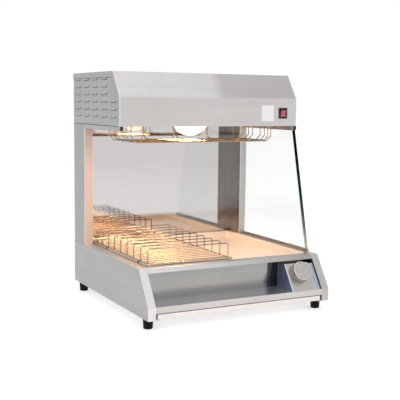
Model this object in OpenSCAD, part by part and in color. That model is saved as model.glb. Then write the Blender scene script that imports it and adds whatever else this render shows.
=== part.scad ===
// Chip warmer: heated base with a lift-out tray and wire rack, open cabinet and lamp hood.
// Millimetres, Z up. Origin on the floor, under the middle of the bounding box.

/* [Cabinet] */
// Width of the cabinet over its side sheets
body_w = 600; // [540:5:760]
// Depth of the cabinet from the front lip to the rear sheet
body_d = 595; // [560:5:720]
// Height of the deck above the underside of the base
base_h = 133; // [125:1:160]
// Height of the upright front lip below the sloped front
lip_h = 37; // [32:1:44]
// Setback of the deck's front edge at the top of the slope
deck_y = 63; // [50:1:75]
// Thickness of the folded sheets
sheet = 1.5; // [1.2:0.1:2.0]

/* [Base front] */
// Width of the upright flanges beside the front recess
flange_w = 25; // [20:1:32]
// Depth of the returns behind the upright flanges
flange_return = 12; // [6:1:16]
// Height of the top rail, measured along the slope
rail_h = 15; // [10:1:20]
// Height of the lip in front of the recess floor
floor_lip_h = 18; // [12:1:20]
// Depth of the recess at its floor
recess_d = 88; // [80:1:100]
// Height of the front edge of the bottom pan
pan_edge_h = 15; // [10:0.5:17]
// Gap between the bottom pan's front edge and the upright flanges
pan_edge_gap = 5; // [2:0.5:10]

/* [Deck] */
// Width of the deck beside the tray opening
deck_side_w = 36; // [34:1:50]
// Width of the deck behind the tray opening
deck_rear_w = 35; // [32:1:50]

/* [Chip tray] */
// Depth of the tray below the deck
tray_depth = 22; // [12:1:28]
// Overlap of the tray rim on the deck
tray_rim = 8; // [6:0.5:9]
// Gap between the tray wall and the deck opening
tray_gap = 1; // [0.5:0.1:2]
// Corner radius of the tray
tray_corner_r = 12; // [4:1:20]

/* [Wire rack] */
// Width of the rack between its hoop legs
rack_w = 260; // [200:5:300]
// Height of the hoops above the rack deck
hoop_h = 42; // [25:1:60]
// Distance from one hoop to the next
hoop_pitch = 50; // [40:1:60]
// Number of hoops
hoop_count = 9; // [4:1:9]
// Thickness of the rack's frame rod
rack_rod_d = 8; // [6:0.5:8]
// Thickness of the rack's thin wires
rack_wire_d = 3.2; // [2.5:0.1:4]
// Bend radius of the hoops
hoop_bend_r = 7; // [5:0.5:12]

/* [Control box] */
// Width of the control box
control_w = 83; // [75:1:100]
// Distance from the control box to the cabinet's right side
control_side = 45; // [40:1:80]
// Gap between the control panel and the top rail, measured along the slope
control_gap = 10; // [6:0.5:16]
// Setback of the control panel behind the slope
control_set = 2; // [1:0.5:4]

/* [Dial] */
// Diameter of the dial's knob
dial_d = 60; // [40:1:64]
// Height of the knob above the slope
dial_h = 20; // [14:1:26]
// Distance of the dial's middle up the slope
dial_up = 58; // [50:1:60]
// Diameter of the dial's spindle
spindle_d = 6; // [5:0.5:8]
// Running clearance around the spindle
spindle_fit = 0.05; // [0.02:0.01:0.09]

/* [Cabinet walls] */
// Width of the rear posts, side to side
post_w = 28; // [24:1:34]
// Depth of the rear posts, front to back
post_d = 100; // [80:1:140]
// Depth of the space behind the mirror wall
wall_gap = 20; // [15:1:30]
// Thickness of the side glass
glass_t = 5; // [4:0.5:6]
// Clearance of the glass in its channels
glass_fit = 0.1; // [0.05:0.05:0.3]
// Height of the upper glass channels
channel_h = 14; // [10:1:20]
// Height of the lower glass channel
foot_channel_h = 8; // [6:1:12]
// Setback of the glass's lower front corner
glass_foot_y = 110; // [90:1:130]

/* [Hood] */
// Height of the hood's lower edge above the underside of the base
hood_z = 521; // [480:1:600]
// Height of the upright part of the hood front
hood_front_h = 84; // [70:1:110]
// Height of the sloped part of the hood front
hood_slope_h = 75; // [60:1:100]
// Setback of the hood's front face
hood_y = 199; // [180:1:230]
// Further setback of the hood's top edge
hood_crown = 51; // [30:1:70]
// Width of the fascia's side wraps
wrap_w = 16; // [10:1:24]
// Height of the top cover's lip
lip_drop = 17; // [10:1:20]
// Height of the ceiling plate above the hood's lower edge
ceiling_up = 5; // [4:0.5:12]

/* [Louvres] */
// Length of one louvre
louvre_l = 48; // [30:1:52]
// Distance from one louvre column to the next
louvre_pitch_y = 76; // [60:1:76]
// Distance from one louvre row to the next
louvre_pitch_z = 22.3; // [18:0.1:22.3]
// How far a louvre stands out
louvre_out = 2.5; // [1.5:0.1:3.5]

/* [Lamp] */
// Diameter of the heat lamp's bulb
lamp_d = 125; // [95:1:125]
// Depth of the bulb's tip below the hood's lower edge
lamp_drop = 34; // [10:1:36]
// Setback of the lamp's middle
lamp_y = 350; // [320:1:380]
// Diameter of the lamp's screw cap
cap_d = 26.5; // [22:0.5:27]

/* [Lamp guard] */
// Length of the guard's flat bottom
guard_w = 452; // [380:1:460]
// Depth of the guard's flat bottom
guard_d = 190; // [160:1:200]
// Setback of the guard's middle
guard_y = 342; // [335:1:350]
// Depth of the guard below the hood's lower edge
guard_drop = 49; // [45:1:60]
// Size of the guard's sloped edges
guard_bevel = 16; // [10:1:20]
// Thickness of the guard's wires
guard_wire_d = 3.2; // [2.5:0.1:4]

/* [Rocker switch] */
// Width of the switch bezel
bezel_w = 30; // [26:0.5:32]
// Height of the switch bezel
bezel_h = 33; // [33:0.5:36]
// Width of the rocker
rocker_w = 23; // [18:0.5:23]
// Height of the rocker
rocker_h = 24; // [18:0.5:24]
// Tilt of the rocker to each side of its middle
rocker_tilt = 9; // [5:1:10]
// Distance of the switch from the cabinet's right side
switch_side = 49.5; // [40:0.5:120]
// Height of the switch above the hood's lower edge
switch_up = 40; // [30:1:50]

/* [Feet] */
// Height of the rubber feet
foot_h = 30; // [15:1:60]
// Diameter of a foot at its top
foot_top_d = 30; // [26:1:34]
// Diameter of a foot at the floor
foot_tip_d = 26; // [18:1:26]
// Distance of a foot's middle from the cabinet's side
foot_side = 19.5; // [18.5:0.5:22]
// Distance of the front feet's middle from the front
foot_front = 42; // [25:1:60]
// Distance of the rear feet's middle from the rear
foot_rear = 35; // [25:1:60]

/* [Rear] */
// How far the cord gland stands out behind the cabinet
gland_out = 14; // [8:1:25]
// Bore of the cord gland
gland_bore = 8; // [6:0.5:10]

/* [Hidden] */
$fn = 48;
slope_run = deck_y;
slope_rise = base_h - lip_h;
slope_len = sqrt(slope_run * slope_run + slope_rise * slope_rise);
slope_a = atan2(slope_rise, slope_run);
// Thickness of a sloped sheet, measured level
slope_sheet = sheet / sin(slope_a);
top_z = hood_z + hood_front_h + hood_slope_h;
fold_z = hood_z + hood_front_h;
hood_top_y = hood_y + hood_crown;
hood_a = atan2(hood_slope_h, hood_crown);
hood_sheet = sheet / sin(hood_a);
rear_in = body_d - sheet;
wall_y = body_d - wall_gap;
post_y = body_d - post_d;
channel_w = glass_t + 2 * glass_fit + 2 * sheet;
glass_x = body_w - channel_w + sheet + glass_fit;
ceiling_z = hood_z + ceiling_up;
opening_front_y = recess_d;
opening_rear_y = body_d - deck_rear_w;
tray_x = deck_side_w + tray_gap;
tray_y = opening_front_y + tray_gap;
tray_w = body_w - 2 * tray_x;
tray_d = opening_rear_y - tray_gap - tray_y;
rim_z = base_h + sheet;
rack_z = rim_z + rack_rod_d / 2;
rack_rod_x = tray_x - tray_rim + rack_rod_d / 2 + 0.5;
rack_leg_x = rack_rod_x + 10;
weld_sink = 0.4;
rack_right_x = rack_leg_x + rack_w;
rack_front_y = tray_y - tray_rim + rack_rod_d / 2 + 0.5;
rack_rear_y = tray_y + tray_d + tray_rim - rack_rod_d / 2 - 0.5;
hoop_y = rack_front_y + 14.5;
hoop_top_z = rack_z + hoop_h;
control_x = body_w - control_side - control_w;
dial_x = control_x + control_w / 2;
control_h = slope_len - rail_h - control_gap;
heat_pan_inset = 6;
heat_pan_end_gap = 4;
heat_pan_drop = 47;
heat_pan_x = deck_side_w - heat_pan_inset;
heat_pan_z = base_h - heat_pan_drop;
element_d = 8;
element_up = 12;
element_z = heat_pan_z + sheet + element_up;
element_x = 90;
element_pitch = 120;
element_front = 62;
element_y = recess_d + element_front;
element_tail = 20;
saddle_half_w = 5;
guard_z = hood_z - guard_drop;
guard_rim_d = 5;
guard_rim_r = 10;
guard_inset_x = 10;
guard_inset_y = 7;
// Places of the cross wires and the long wires, as shares of the guard's half size
guard_cross = [-1, -0.53, 0, 0.53, 1];
guard_long = [-1, -0.56, -0.27, 0.27, 0.56, 1];
// Knuckle at a bend of a guard wire, as a multiple of the wire's thickness
knuckle_size = 1.14;
clip_half_w = 6;
clip_wall = 2;
guard_rim_z = ceiling_z - guard_rim_d / 2;
switch_x = body_w - switch_side;
switch_z = hood_z + switch_up;
gland_x = body_w - 80;
gland_z = 45;
mid_y = (body_d + gland_out) / 2;
foot_flange_w = 40;
vent_count = 6;
vent_pitch = 14;
vent_w = 4;
vent_l = 40;
thermostat_h = 22;
thermostat_d = 46;
thermostat_seat = 0.05;
thermostat_z0 = -control_set - sheet - thermostat_seat - thermostat_h;
strap_w = 16;
strap_l = 60;
strap_t = 3;
knob_grooves = 3;
gland_thread_d = 16;
deck_pitch = 25;
deck_wire_d = 3;
carrier_d = 4;
plug_t = 3;
fascia_lip = 12;
// Distance of the top cover's lips behind the hood's top edge
cover_set = 12;
wrap_step = 8;
glass_head_set = 3;
louvre_h = 6;
lamp_z = hood_z - lamp_drop + lamp_d / 2;
cap_h = 27;
neck_top = 74;
holder_z = lamp_z + neck_top;
holder_h = 42;
holder_d = 44;
lamp_hole_gap = 12.5;
bracket_reach = 20;
bracket_half_d = 20;
bracket_foot = 15;
// Height of the cross wires over the long wires that they are welded to
guard_lift = guard_wire_d - 0.4;
bezel_t = 2;
cutout_w = 27;
cutout_h = 30;
rocker_gap = 0.35;
rocker_out = 2.2;
pivot_in = 4;
pivot_y = hood_y - bezel_t + pivot_in;
rocker_r = sqrt((rocker_h / 2) * (rocker_h / 2) + (pivot_in + rocker_out) * (pivot_in + rocker_out));

// Cabinet coordinates: left front corner of the base underside
module in_cabinet() {
    translate([-body_w / 2, -mid_y, foot_h]) children();
}

// Mirror image about the cabinet's middle plane
module opposite() {
    translate([body_w, 0, 0]) mirror([1, 0, 0]) children();
}

// Coordinates on the sloped base front: y up the slope, z outwards
module on_slope() {
    translate([0, 0, lip_h]) rotate([slope_a, 0, 0]) children();
}

// A side view outline, given as depth and height, made into a plate from x0 to x1
module side_plate(x0, x1, outline) {
    translate([x0, 0, 0]) rotate([90, 0, 90]) linear_extrude(x1 - x0) polygon(outline);
}

// A block from one corner to the opposite one
module block(low, high) {
    translate(low) cube(high - low);
}

// A plan view rectangle with round corners
module round_rect(x0, y0, x1, y1, r) {
    translate([x0 + r, y0]) square([x1 - x0 - 2 * r, y1 - y0]);
    translate([x0, y0 + r]) square([x1 - x0, y1 - y0 - 2 * r]);
    for (x = [x0 + r, x1 - r])
        for (y = [y0 + r, y1 - r])
            translate([x, y]) circle(r);
}

// A straight wire along x, y or z
module wire_x(x0, x1, y, z, d) {
    translate([x0, y, z]) rotate([0, 90, 0]) cylinder(h = x1 - x0, d = d);
}

module wire_y(x, y0, y1, z, d) {
    translate([x, y0, z]) rotate([-90, 0, 0]) cylinder(h = y1 - y0, d = d);
}

module wire_z(x, y, z0, z1, d) {
    translate([x, y, z0]) cylinder(h = z1 - z0, d = d);
}

// A wire bend in the plane of x and z, turned from start over turn degrees
module bend_xz(x, y, z, r, start, turn, d) {
    translate([x, y, z]) rotate([90, 0, 0]) rotate([0, 0, start])
        rotate_extrude(angle = turn) translate([r, 0]) circle(d = d);
}

// The same bend in the plane of x and y
module bend_xy(x, y, z, r, start, turn, d) {
    translate([x, y, z]) rotate([0, 0, start])
        rotate_extrude(angle = turn) translate([r, 0]) circle(d = d);
}

// Depth of the hood front's inner face at a height
function hood_inner_y(z) = hood_y + hood_sheet + (z - fold_z) / tan(hood_a);

// Base side: skin, front flange with return, deck flange, rear flange and foot flange
module side_sheet() {
    side_plate(0, sheet, [[0, 0], [rear_in, 0], [rear_in, base_h], [deck_y, base_h], [0, lip_h]]);
    block([0, 0, 0], [flange_w, sheet, lip_h]);
    side_plate(0, flange_w, [[0, lip_h], [deck_y, base_h], [deck_y + slope_sheet, base_h],
        [slope_sheet, lip_h]]);
    side_plate(flange_w - sheet, flange_w, [[0, lip_h], [deck_y, base_h], [deck_y + flange_return, base_h],
        [flange_return, lip_h]]);
    block([0, deck_y, base_h - sheet], [flange_w, recess_d, base_h]);
    block([0, recess_d, base_h - sheet], [deck_side_w, rear_in, base_h]);
    block([0, rear_in - sheet, 0], [foot_flange_w / 2, rear_in, base_h]);
    block([0, 0, 0], [foot_flange_w, rear_in, sheet]);
}

module base_side_left() {
    color("silver") in_cabinet() side_sheet();
}

module base_side_right() {
    color("silver") in_cabinet() opposite() side_sheet();
}

// Top rail of the base front with the deck strip in front of the tray
module front_rail() {
    rail_y = deck_y - rail_h * cos(slope_a);
    rail_z = base_h - rail_h * sin(slope_a);
    color("silver") in_cabinet() {
        side_plate(flange_w, body_w - flange_w, [[rail_y, rail_z], [deck_y, base_h],
            [deck_y + slope_sheet, base_h], [rail_y + slope_sheet, rail_z]]);
        block([flange_w, deck_y, base_h - sheet], [body_w - flange_w, recess_d, base_h]);
    }
}

// Storage recess behind the base front: floor with front lip, and back
module recess_liner() {
    color("gainsboro") in_cabinet() {
        block([sheet, sheet, lip_h - sheet], [body_w - sheet, recess_d, lip_h]);
        block([flange_w, 0, lip_h - floor_lip_h], [body_w - flange_w, sheet, lip_h]);
        block([sheet, recess_d - sheet, lip_h - sheet], [body_w - sheet, recess_d, base_h - sheet]);
    }
}

// Bottom pan with its front edge and two rows of vent slots
module bottom_pan() {
    edge_x = flange_w + pan_edge_gap;
    color("silver") in_cabinet() difference() {
        union() {
            block([sheet, sheet, sheet], [body_w - sheet, rear_in - sheet, 2 * sheet]);
            block([edge_x, sheet, sheet], [body_w - edge_x, 2 * sheet, sheet + pan_edge_h]);
        }
        for (row = [0, 1])
            for (i = [0:vent_count - 1])
                translate([body_w / 2 + (i - (vent_count - 1) / 2) * vent_pitch,
                    body_d * (0.35 + 0.3 * row), 0])
                    vent_slot(4 * sheet);
    }
}

// A slot with round ends, cut upwards from the origin's height
module vent_slot(deep) {
    linear_extrude(deep) union() {
        square([vent_w, vent_l - vent_w], center = true);
        for (side = [-1, 1])
            translate([0, side * (vent_l - vent_w) / 2]) circle(d = vent_w);
    }
}

// Rear sheet of the base with the hole for the cord gland
module base_rear_panel() {
    color("silver") in_cabinet() difference() {
        block([0, rear_in, 0], [body_w, body_d, base_h]);
        wire_y(gland_x, rear_in - 1, body_d + 1, gland_z, gland_thread_d + 0.2);
        rear_screw_holes();
        for (i = [0:vent_count - 1])
            translate([body_w * 0.4 + (i - (vent_count - 1) / 2) * vent_pitch, rear_in - 1, base_h / 2])
                rotate([-90, 0, 0]) vent_slot(4 * sheet);
    }
}

// Deck strip behind the tray opening
module rear_deck() {
    color("silver") in_cabinet() {
        block([deck_side_w, opening_rear_y, base_h - sheet], [body_w - deck_side_w, rear_in, base_h]);
        block([deck_side_w, opening_rear_y, base_h - rail_h],
            [body_w - deck_side_w, opening_rear_y + sheet, base_h]);
    }
}

// Control box in the recess: sloped panel, two sides and a top, open to the back
module control_box() {
    foot_y = control_set / sin(slope_a);
    top_h = lip_h + control_h * sin(slope_a);
    top_y = foot_y + control_h * cos(slope_a);
    back_y = recess_d - sheet;
    x1 = control_x + control_w;
    hollow_z = top_h - sheet;
    hollow_y = foot_y + slope_sheet + (hollow_z - lip_h) / tan(slope_a);
    low_y = foot_y + slope_sheet - 1 / tan(slope_a);
    color("silver") in_cabinet() difference() {
        side_plate(control_x, x1, [[foot_y, lip_h], [top_y, top_h], [back_y, top_h], [back_y, lip_h]]);
        side_plate(control_x + sheet, x1 - sheet, [[low_y, lip_h - 1], [hollow_y, hollow_z],
            [back_y + 1, hollow_z], [back_y + 1, lip_h - 1]]);
        dial_place() translate([0, 0, -control_set - 2 * sheet]) cylinder(h = 4 * sheet, d = spindle_d + 4);
    }
}

// Thermostat behind the control panel
module thermostat() {
    color("dimgray") in_cabinet() dial_place() difference() {
        union() {
            translate([0, 0, thermostat_z0]) cylinder(h = thermostat_h, d = thermostat_d);
            translate([-strap_w / 2, -strap_l / 2, thermostat_z0]) cube([strap_w, strap_l, strap_t]);
        }
        translate([0, 0, thermostat_z0 - 1]) cylinder(h = thermostat_h + 2, d = spindle_d + 2 * spindle_fit);
    }
}

// Coordinates of the dial: z along its axis, zero on the slope
module dial_place() {
    translate([dial_x, 0, 0]) on_slope() translate([0, dial_up, 0]) children();
}

module dial_spindle() {
    color("gray") in_cabinet() dial_place()
        translate([0, 0, thermostat_z0 + 4]) cylinder(h = dial_h - 4 - thermostat_z0 - 4, d = spindle_d);
}

// Knob: turned disc with a bevelled rim, ring grooves in its face and a pointer notch
module dial_knob() {
    r = dial_d / 2;
    z0 = 0.8 - control_set;
    color("silver") in_cabinet() dial_place() difference() {
        rotate_extrude() difference() {
            polygon([[0, z0], [r - 1, z0], [r - 1, z0 + 4], [r, z0 + 4],
                [r, dial_h - 2], [r - 2, dial_h], [0, dial_h]]);
            for (g = [1:knob_grooves])
                translate([r * g / (knob_grooves + 1), dial_h - 0.5]) square([0.8, 1]);
        }
        translate([0, 0, z0 - 1]) cylinder(h = dial_h - 4 - z0 + 1, d = spindle_d + 2 * spindle_fit);
        translate([-1, r - 5, dial_h - 1.2]) cube([2, 6, 2]);
    }
}

// Pan under the tray that carries the heating element, hung from the deck flanges
module heat_pan() {
    wall_top = base_h - sheet;
    y0 = recess_d + heat_pan_end_gap;
    y1 = opening_rear_y - heat_pan_end_gap;
    color("silver") in_cabinet() {
        block([heat_pan_x, y0, heat_pan_z], [body_w - heat_pan_x, y1, heat_pan_z + sheet]);
        block([heat_pan_x, y0, heat_pan_z], [heat_pan_x + sheet, y1, wall_top]);
        block([body_w - heat_pan_x - sheet, y0, heat_pan_z], [body_w - heat_pan_x, y1, wall_top]);
    }
}

// Heating element: four runs joined by three bends
module heating_element() {
    r = element_pitch / 2;
    x1 = body_w - element_x;
    color("dimgray") in_cabinet() {
        for (i = [0:3])
            wire_x(element_x + r, x1 - r, element_y + i * element_pitch, element_z, element_d);
        for (i = [0, 2])
            bend_xy(element_x + r, element_y + (i + 0.5) * element_pitch, element_z, r, 90, 180, element_d);
        bend_xy(x1 - r, element_y + 1.5 * element_pitch, element_z, r, -90, 180, element_d);
        for (i = [0, 3])
            wire_x(x1 - r, x1 + element_tail, element_y + i * element_pitch, element_z, element_d);
    }
}

// Saddles that hold the heating element above its pan
module element_saddles() {
    base_z = heat_pan_z + sheet;
    low_z = element_z - element_d / 2;
    color("gray") in_cabinet() for (x = [body_w * 0.35, body_w * 0.65])
        for (i = [0:3])
            translate([x, element_y + i * element_pitch, 0]) difference() {
                block([-saddle_half_w, -element_d, base_z],
                    [saddle_half_w, element_d, element_z + element_d / 2]);
                block([-saddle_half_w - 1, -element_d / 2 - 0.1, low_z],
                    [saddle_half_w + 1, element_d / 2 + 0.1, element_z + element_d]);
            }
}

// Terminal block on the bottom pan
module terminal_block() {
    pitch = 14;
    foot = [60, 24, 8];
    post = [12, 16, 18];
    color("white") in_cabinet() translate([gland_x - 80, body_d - 75, 2 * sheet]) difference() {
        union() {
            cube(foot);
            for (i = [0:3])
                translate([3 + i * pitch, (foot[1] - post[1]) / 2, 0]) cube(post);
        }
        for (i = [0:3])
            translate([3 + post[0] / 2 + i * pitch, foot[1] / 2, foot[2]]) cylinder(h = 12, d = 6);
    }
}

// Cord gland through the rear sheet: thread, inner nut and outer collar around an open bore
module cord_gland() {
    color("black") in_cabinet() translate([gland_x, 0, gland_z]) rotate([-90, 0, 0]) difference() {
        union() {
            translate([0, 0, rear_in - 10]) cylinder(h = 10 + sheet + gland_out - 1, d = gland_thread_d);
            translate([0, 0, rear_in - 5]) cylinder(h = 5, d = 24, $fn = 6);
            translate([0, 0, body_d]) cylinder(h = 5, d = 24, $fn = 6);
            translate([0, 0, body_d + 5]) cylinder(h = gland_out - 5, d = 20);
        }
        translate([0, 0, rear_in - 11]) cylinder(h = 30 + gland_out, d = gland_bore);
    }
}

// Lift-out chip tray with a flat rim
module chip_tray() {
    x1 = tray_x + tray_w;
    y1 = tray_y + tray_d;
    color("silver") in_cabinet() difference() {
        union() {
            translate([0, 0, base_h - tray_depth]) linear_extrude(tray_depth + sheet)
                round_rect(tray_x, tray_y, x1, y1, tray_corner_r);
            translate([0, 0, base_h]) linear_extrude(sheet)
                round_rect(tray_x - tray_rim, tray_y - tray_rim, x1 + tray_rim, y1 + tray_rim,
                    tray_corner_r + tray_rim);
        }
        translate([0, 0, base_h - tray_depth + sheet]) linear_extrude(tray_depth + sheet)
            round_rect(tray_x + sheet, tray_y + sheet, x1 - sheet, y1 - sheet, tray_corner_r - sheet);
    }
}

// Wire rack: rod frame on three sides, two leg carriers and the deck wires
module rack_frame() {
    frame_r = 12;
    end_x = rack_right_x + 4;
    deck_count = floor((rack_rear_y - hoop_y - 12) / deck_pitch);
    color("silver") in_cabinet() {
        wire_y(rack_rod_x, rack_front_y + frame_r, rack_rear_y - frame_r, rack_z, rack_rod_d);
        bend_xy(rack_rod_x + frame_r, rack_front_y + frame_r, rack_z, frame_r, 180, 90, rack_rod_d);
        bend_xy(rack_rod_x + frame_r, rack_rear_y - frame_r, rack_z, frame_r, 90, 90, rack_rod_d);
        wire_x(rack_rod_x + frame_r, end_x, rack_front_y, rack_z, rack_rod_d);
        wire_x(rack_rod_x + frame_r, end_x, rack_rear_y, rack_z, rack_rod_d);
        for (x = [rack_leg_x, rack_right_x])
            wire_y(x, rack_front_y, rack_rear_y, rack_z, carrier_d);
        for (i = [0:deck_count - 1])
            wire_x(rack_rod_x, rack_right_x + 3, hoop_y + (i + 0.5) * deck_pitch, rack_z, deck_wire_d);
    }
}

// Hoops between which the chip boxes stand, welded to the leg carriers
module rack_hoops() {
    x0 = rack_leg_x;
    x1 = rack_right_x;
    r = hoop_bend_r;
    foot_z = rack_z + carrier_d / 2 - weld_sink;
    color("silver") in_cabinet() for (i = [0:hoop_count - 1])
        translate([0, hoop_y + i * hoop_pitch, 0]) {
            wire_z(x0, 0, foot_z, hoop_top_z - r, rack_wire_d);
            wire_z(x1, 0, foot_z, hoop_top_z - r, rack_wire_d);
            wire_x(x0 + r, x1 - r, 0, hoop_top_z, rack_wire_d);
            bend_xz(x0 + r, 0, hoop_top_z - r, r, 90, 90, rack_wire_d);
            bend_xz(x1 - r, 0, hoop_top_z - r, r, 0, 90, rack_wire_d);
        }
}

// Four tapered rubber feet
module feet() {
    color("black") in_cabinet() for (x = [foot_side, body_w - foot_side])
        for (y = [foot_front, body_d - foot_rear])
            translate([x, y, -foot_h]) {
                cylinder(h = foot_h - 3, d1 = foot_tip_d, d2 = foot_top_d);
                translate([0, 0, foot_h - 3]) cylinder(h = 3, d = foot_top_d);
            }
}

// Rear post: a tube from the deck to the hood
module post() {
    difference() {
        block([0, post_y, base_h], [post_w, body_d, hood_z]);
        block([sheet, post_y + sheet, base_h - 1], [post_w - sheet, body_d - sheet, hood_z + 1]);
    }
}

module post_left() {
    color("silver") in_cabinet() post();
}

module post_right() {
    color("silver") in_cabinet() opposite() post();
}

// Mirror wall at the back of the cabinet
module mirror_wall() {
    color("lightgray") in_cabinet()
        block([post_w, wall_y, base_h], [body_w - post_w, wall_y + sheet, ceiling_z]);
}

module rear_wall() {
    color("silver") in_cabinet() difference() {
        block([post_w, rear_in, base_h], [body_w - post_w, body_d, hood_z]);
        rear_screw_holes();
    }
}

// Upper glass channel, open downwards, from the post to the hood front
module upper_channel() {
    difference() {
        block([0, hood_y, hood_z - channel_h], [channel_w, post_y, hood_z]);
        block([sheet, hood_y - 1, hood_z - channel_h - 1], [channel_w - sheet, post_y + 1, hood_z - sheet]);
    }
}

module glass_channel_left() {
    color("silver") in_cabinet() upper_channel();
}

module glass_channel_right() {
    color("silver") in_cabinet() opposite() upper_channel();
}

// Black plugs that close the front ends of the upper channels
module channel_plugs() {
    color("black") in_cabinet() {
        block([0, hood_y - plug_t, hood_z - channel_h + 3], [channel_w, hood_y, hood_z]);
        translate([body_w - channel_w, 0, 0])
            block([0, hood_y - plug_t, hood_z - channel_h + 3], [channel_w, hood_y, hood_z]);
    }
}

// Lower channel on the deck that holds the foot of the side glass
module glass_foot_channel() {
    x0 = body_w - channel_w;
    color("silver") in_cabinet() difference() {
        block([x0, glass_foot_y, base_h], [body_w, post_y, base_h + foot_channel_h]);
        block([x0 + sheet, glass_foot_y - 1, base_h + sheet],
            [body_w - sheet, post_y + 1, base_h + foot_channel_h + 1]);
    }
}

// Right side glass with a sloped front edge
module side_glass() {
    low_z = base_h + sheet;
    high_z = hood_z - sheet - 0.2;
    color("lightblue", 0.4) in_cabinet()
        side_plate(glass_x, glass_x + glass_t, [[glass_foot_y, low_z], [hood_y + glass_head_set, high_z],
            [post_y - 0.2, high_z], [post_y - 0.2, low_z]]);
}

// Hood side with its louvres and a bottom flange
module hood_side() {
    skin_top = top_z - sheet;
    color("silver") difference() {
        union() {
            side_plate(0, sheet, [[hood_y + sheet, hood_z], [rear_in, hood_z], [rear_in, skin_top],
                [hood_inner_y(skin_top), skin_top],
                    [hood_y + sheet, fold_z - (hood_sheet - sheet) * tan(hood_a)]]);
            block([0, hood_y + sheet + fascia_lip, hood_z], [post_w, rear_in, hood_z + sheet]);
            louvres() louvre_scoop();
        }
        louvres() louvre_hollow();
    }
}

module louvres() {
    for (row = [0:5])
        for (column = [0:row < 3 ? 4 : 3])
            translate([0, body_d - 39 - column * louvre_pitch_y,
                hood_z + 24 + row * louvre_pitch_z]) children();
}

// One louvre pressed out of the side, open downwards
module louvre_scoop() {
    translate([0, louvre_l / 2, 0]) rotate([90, 0, 0]) linear_extrude(louvre_l)
        polygon([[0.5, 0], [-louvre_out, 0], [-louvre_out, 1.2], [0, louvre_h], [0.5, louvre_h]]);
}

module louvre_hollow() {
    skin = 0.9;
    in_x = skin - louvre_out;
    translate([0, louvre_l / 2 - skin, 0]) rotate([90, 0, 0]) linear_extrude(louvre_l - 2 * skin)
        polygon([[sheet + 1, -1.2], [in_x, -1.2], [in_x, 0.9],
            [0.2, louvre_h - 1.6], [sheet + 1, louvre_h - 1.6]]);
}

module hood_side_left() {
    in_cabinet() hood_side();
}

module hood_side_right() {
    in_cabinet() opposite() hood_side();
}

// Bent hood front with side wraps, a bottom lip and the cut-out for the switch
module hood_fascia() {
    back_fold_z = fold_z - (hood_sheet - sheet) * tan(hood_a);
    lip_front_y = hood_top_y + cover_set;
    wrap = [[hood_y, hood_z], [hood_y, fold_z], [hood_top_y, top_z], [lip_front_y, top_z],
        [lip_front_y, top_z - lip_drop], [hood_y + wrap_w, fold_z - wrap_step], [hood_y + wrap_w, hood_z]];
    color("silver") in_cabinet() difference() {
        union() {
            side_plate(-sheet, body_w + sheet, [[hood_y, hood_z], [hood_y, fold_z], [hood_top_y, top_z],
                [hood_top_y + hood_sheet, top_z], [hood_y + sheet, back_fold_z], [hood_y + sheet, hood_z]]);
            side_plate(-sheet, 0, wrap);
            side_plate(body_w, body_w + sheet, wrap);
            block([sheet, hood_y, hood_z], [body_w - sheet, hood_y + sheet + fascia_lip, hood_z + sheet]);
        }
        translate([switch_x, 0, switch_z]) block([-cutout_w / 2, hood_y - 1, -cutout_h / 2],
            [cutout_w / 2, hood_y + 2 * sheet, cutout_h / 2]);
    }
}

// Top cover with lips over the hood sides and rear
module hood_top() {
    plate_z = top_z - sheet;
    lip_front_y = hood_top_y + cover_set;
    lip_z = top_z - lip_drop;
    color("silver") in_cabinet() {
        block([0, hood_top_y + hood_sheet, plate_z], [body_w, body_d + sheet, top_z]);
        block([-sheet, lip_front_y, lip_z], [0, body_d + sheet, top_z]);
        block([body_w, lip_front_y, lip_z], [body_w + sheet, body_d + sheet, top_z]);
        block([-sheet, body_d, lip_z], [body_w + sheet, body_d + sheet, top_z]);
    }
}

// Rear sheet of the hood with vent slots
module hood_rear() {
    color("silver") in_cabinet() difference() {
        block([0, rear_in, hood_z], [body_w, body_d, top_z - sheet]);
        rear_screw_holes();
        for (i = [0:2 * vent_count - 1])
            translate([body_w / 2 + (i - vent_count + 0.5) * vent_pitch,
                rear_in - 1, hood_z + hood_front_h])
                rotate([-90, 0, 0]) vent_slot(4 * sheet);
    }
}

// Ceiling plate with the lamp opening
module hood_ceiling() {
    color("silver") in_cabinet() difference() {
        block([sheet, hood_y + sheet, ceiling_z], [body_w - sheet, rear_in, ceiling_z + sheet]);
        translate([body_w / 2, lamp_y, ceiling_z - 1])
            cylinder(h = 4 * sheet, d = lamp_d + 2 * lamp_hole_gap);
    }
}

// Bridge over the lamp opening that carries the lamp holder
module lamp_bracket() {
    half = lamp_d / 2 + bracket_reach;
    d = bracket_half_d;
    holder_top = holder_z + holder_h;
    color("silver") in_cabinet() translate([body_w / 2, lamp_y, 0]) {
        block([-half, -d, holder_top], [half, d, holder_top + sheet]);
        for (side = [0, 1])
            mirror([side, 0, 0]) {
                block([half - sheet, -d, ceiling_z + sheet], [half, d, holder_top + sheet]);
                block([half - sheet, -d, ceiling_z + sheet],
                    [half + bracket_foot, d, ceiling_z + 2 * sheet]);
            }
    }
}

// Ceramic lamp holder
module lamp_holder() {
    color("white") in_cabinet() translate([body_w / 2, lamp_y, holder_z]) difference() {
        union() {
            cylinder(h = holder_h, d = holder_d);
            cylinder(h = 8, d = holder_d + 4);
        }
        translate([0, 0, -1]) cylinder(h = cap_h + 1, d = cap_d + 0.1);
    }
}

// Heat lamp: round bulb, tapered neck and screw cap
module heat_lamp() {
    r = lamp_d / 2;
    color("ivory") in_cabinet() translate([body_w / 2, lamp_y, lamp_z]) {
        rotate_extrude() union() {
            intersection() {
                circle(r);
                translate([0, -r - 1]) square([r + 1, r + 1]);
            }
            polygon([[0, 0], [r, 0], [r, 4], [r * 0.5, 52], [r * 0.32, neck_top], [0, neck_top]]);
        }
        translate([0, 0, neck_top]) cylinder(h = cap_h, d = cap_d);
    }
}

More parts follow.
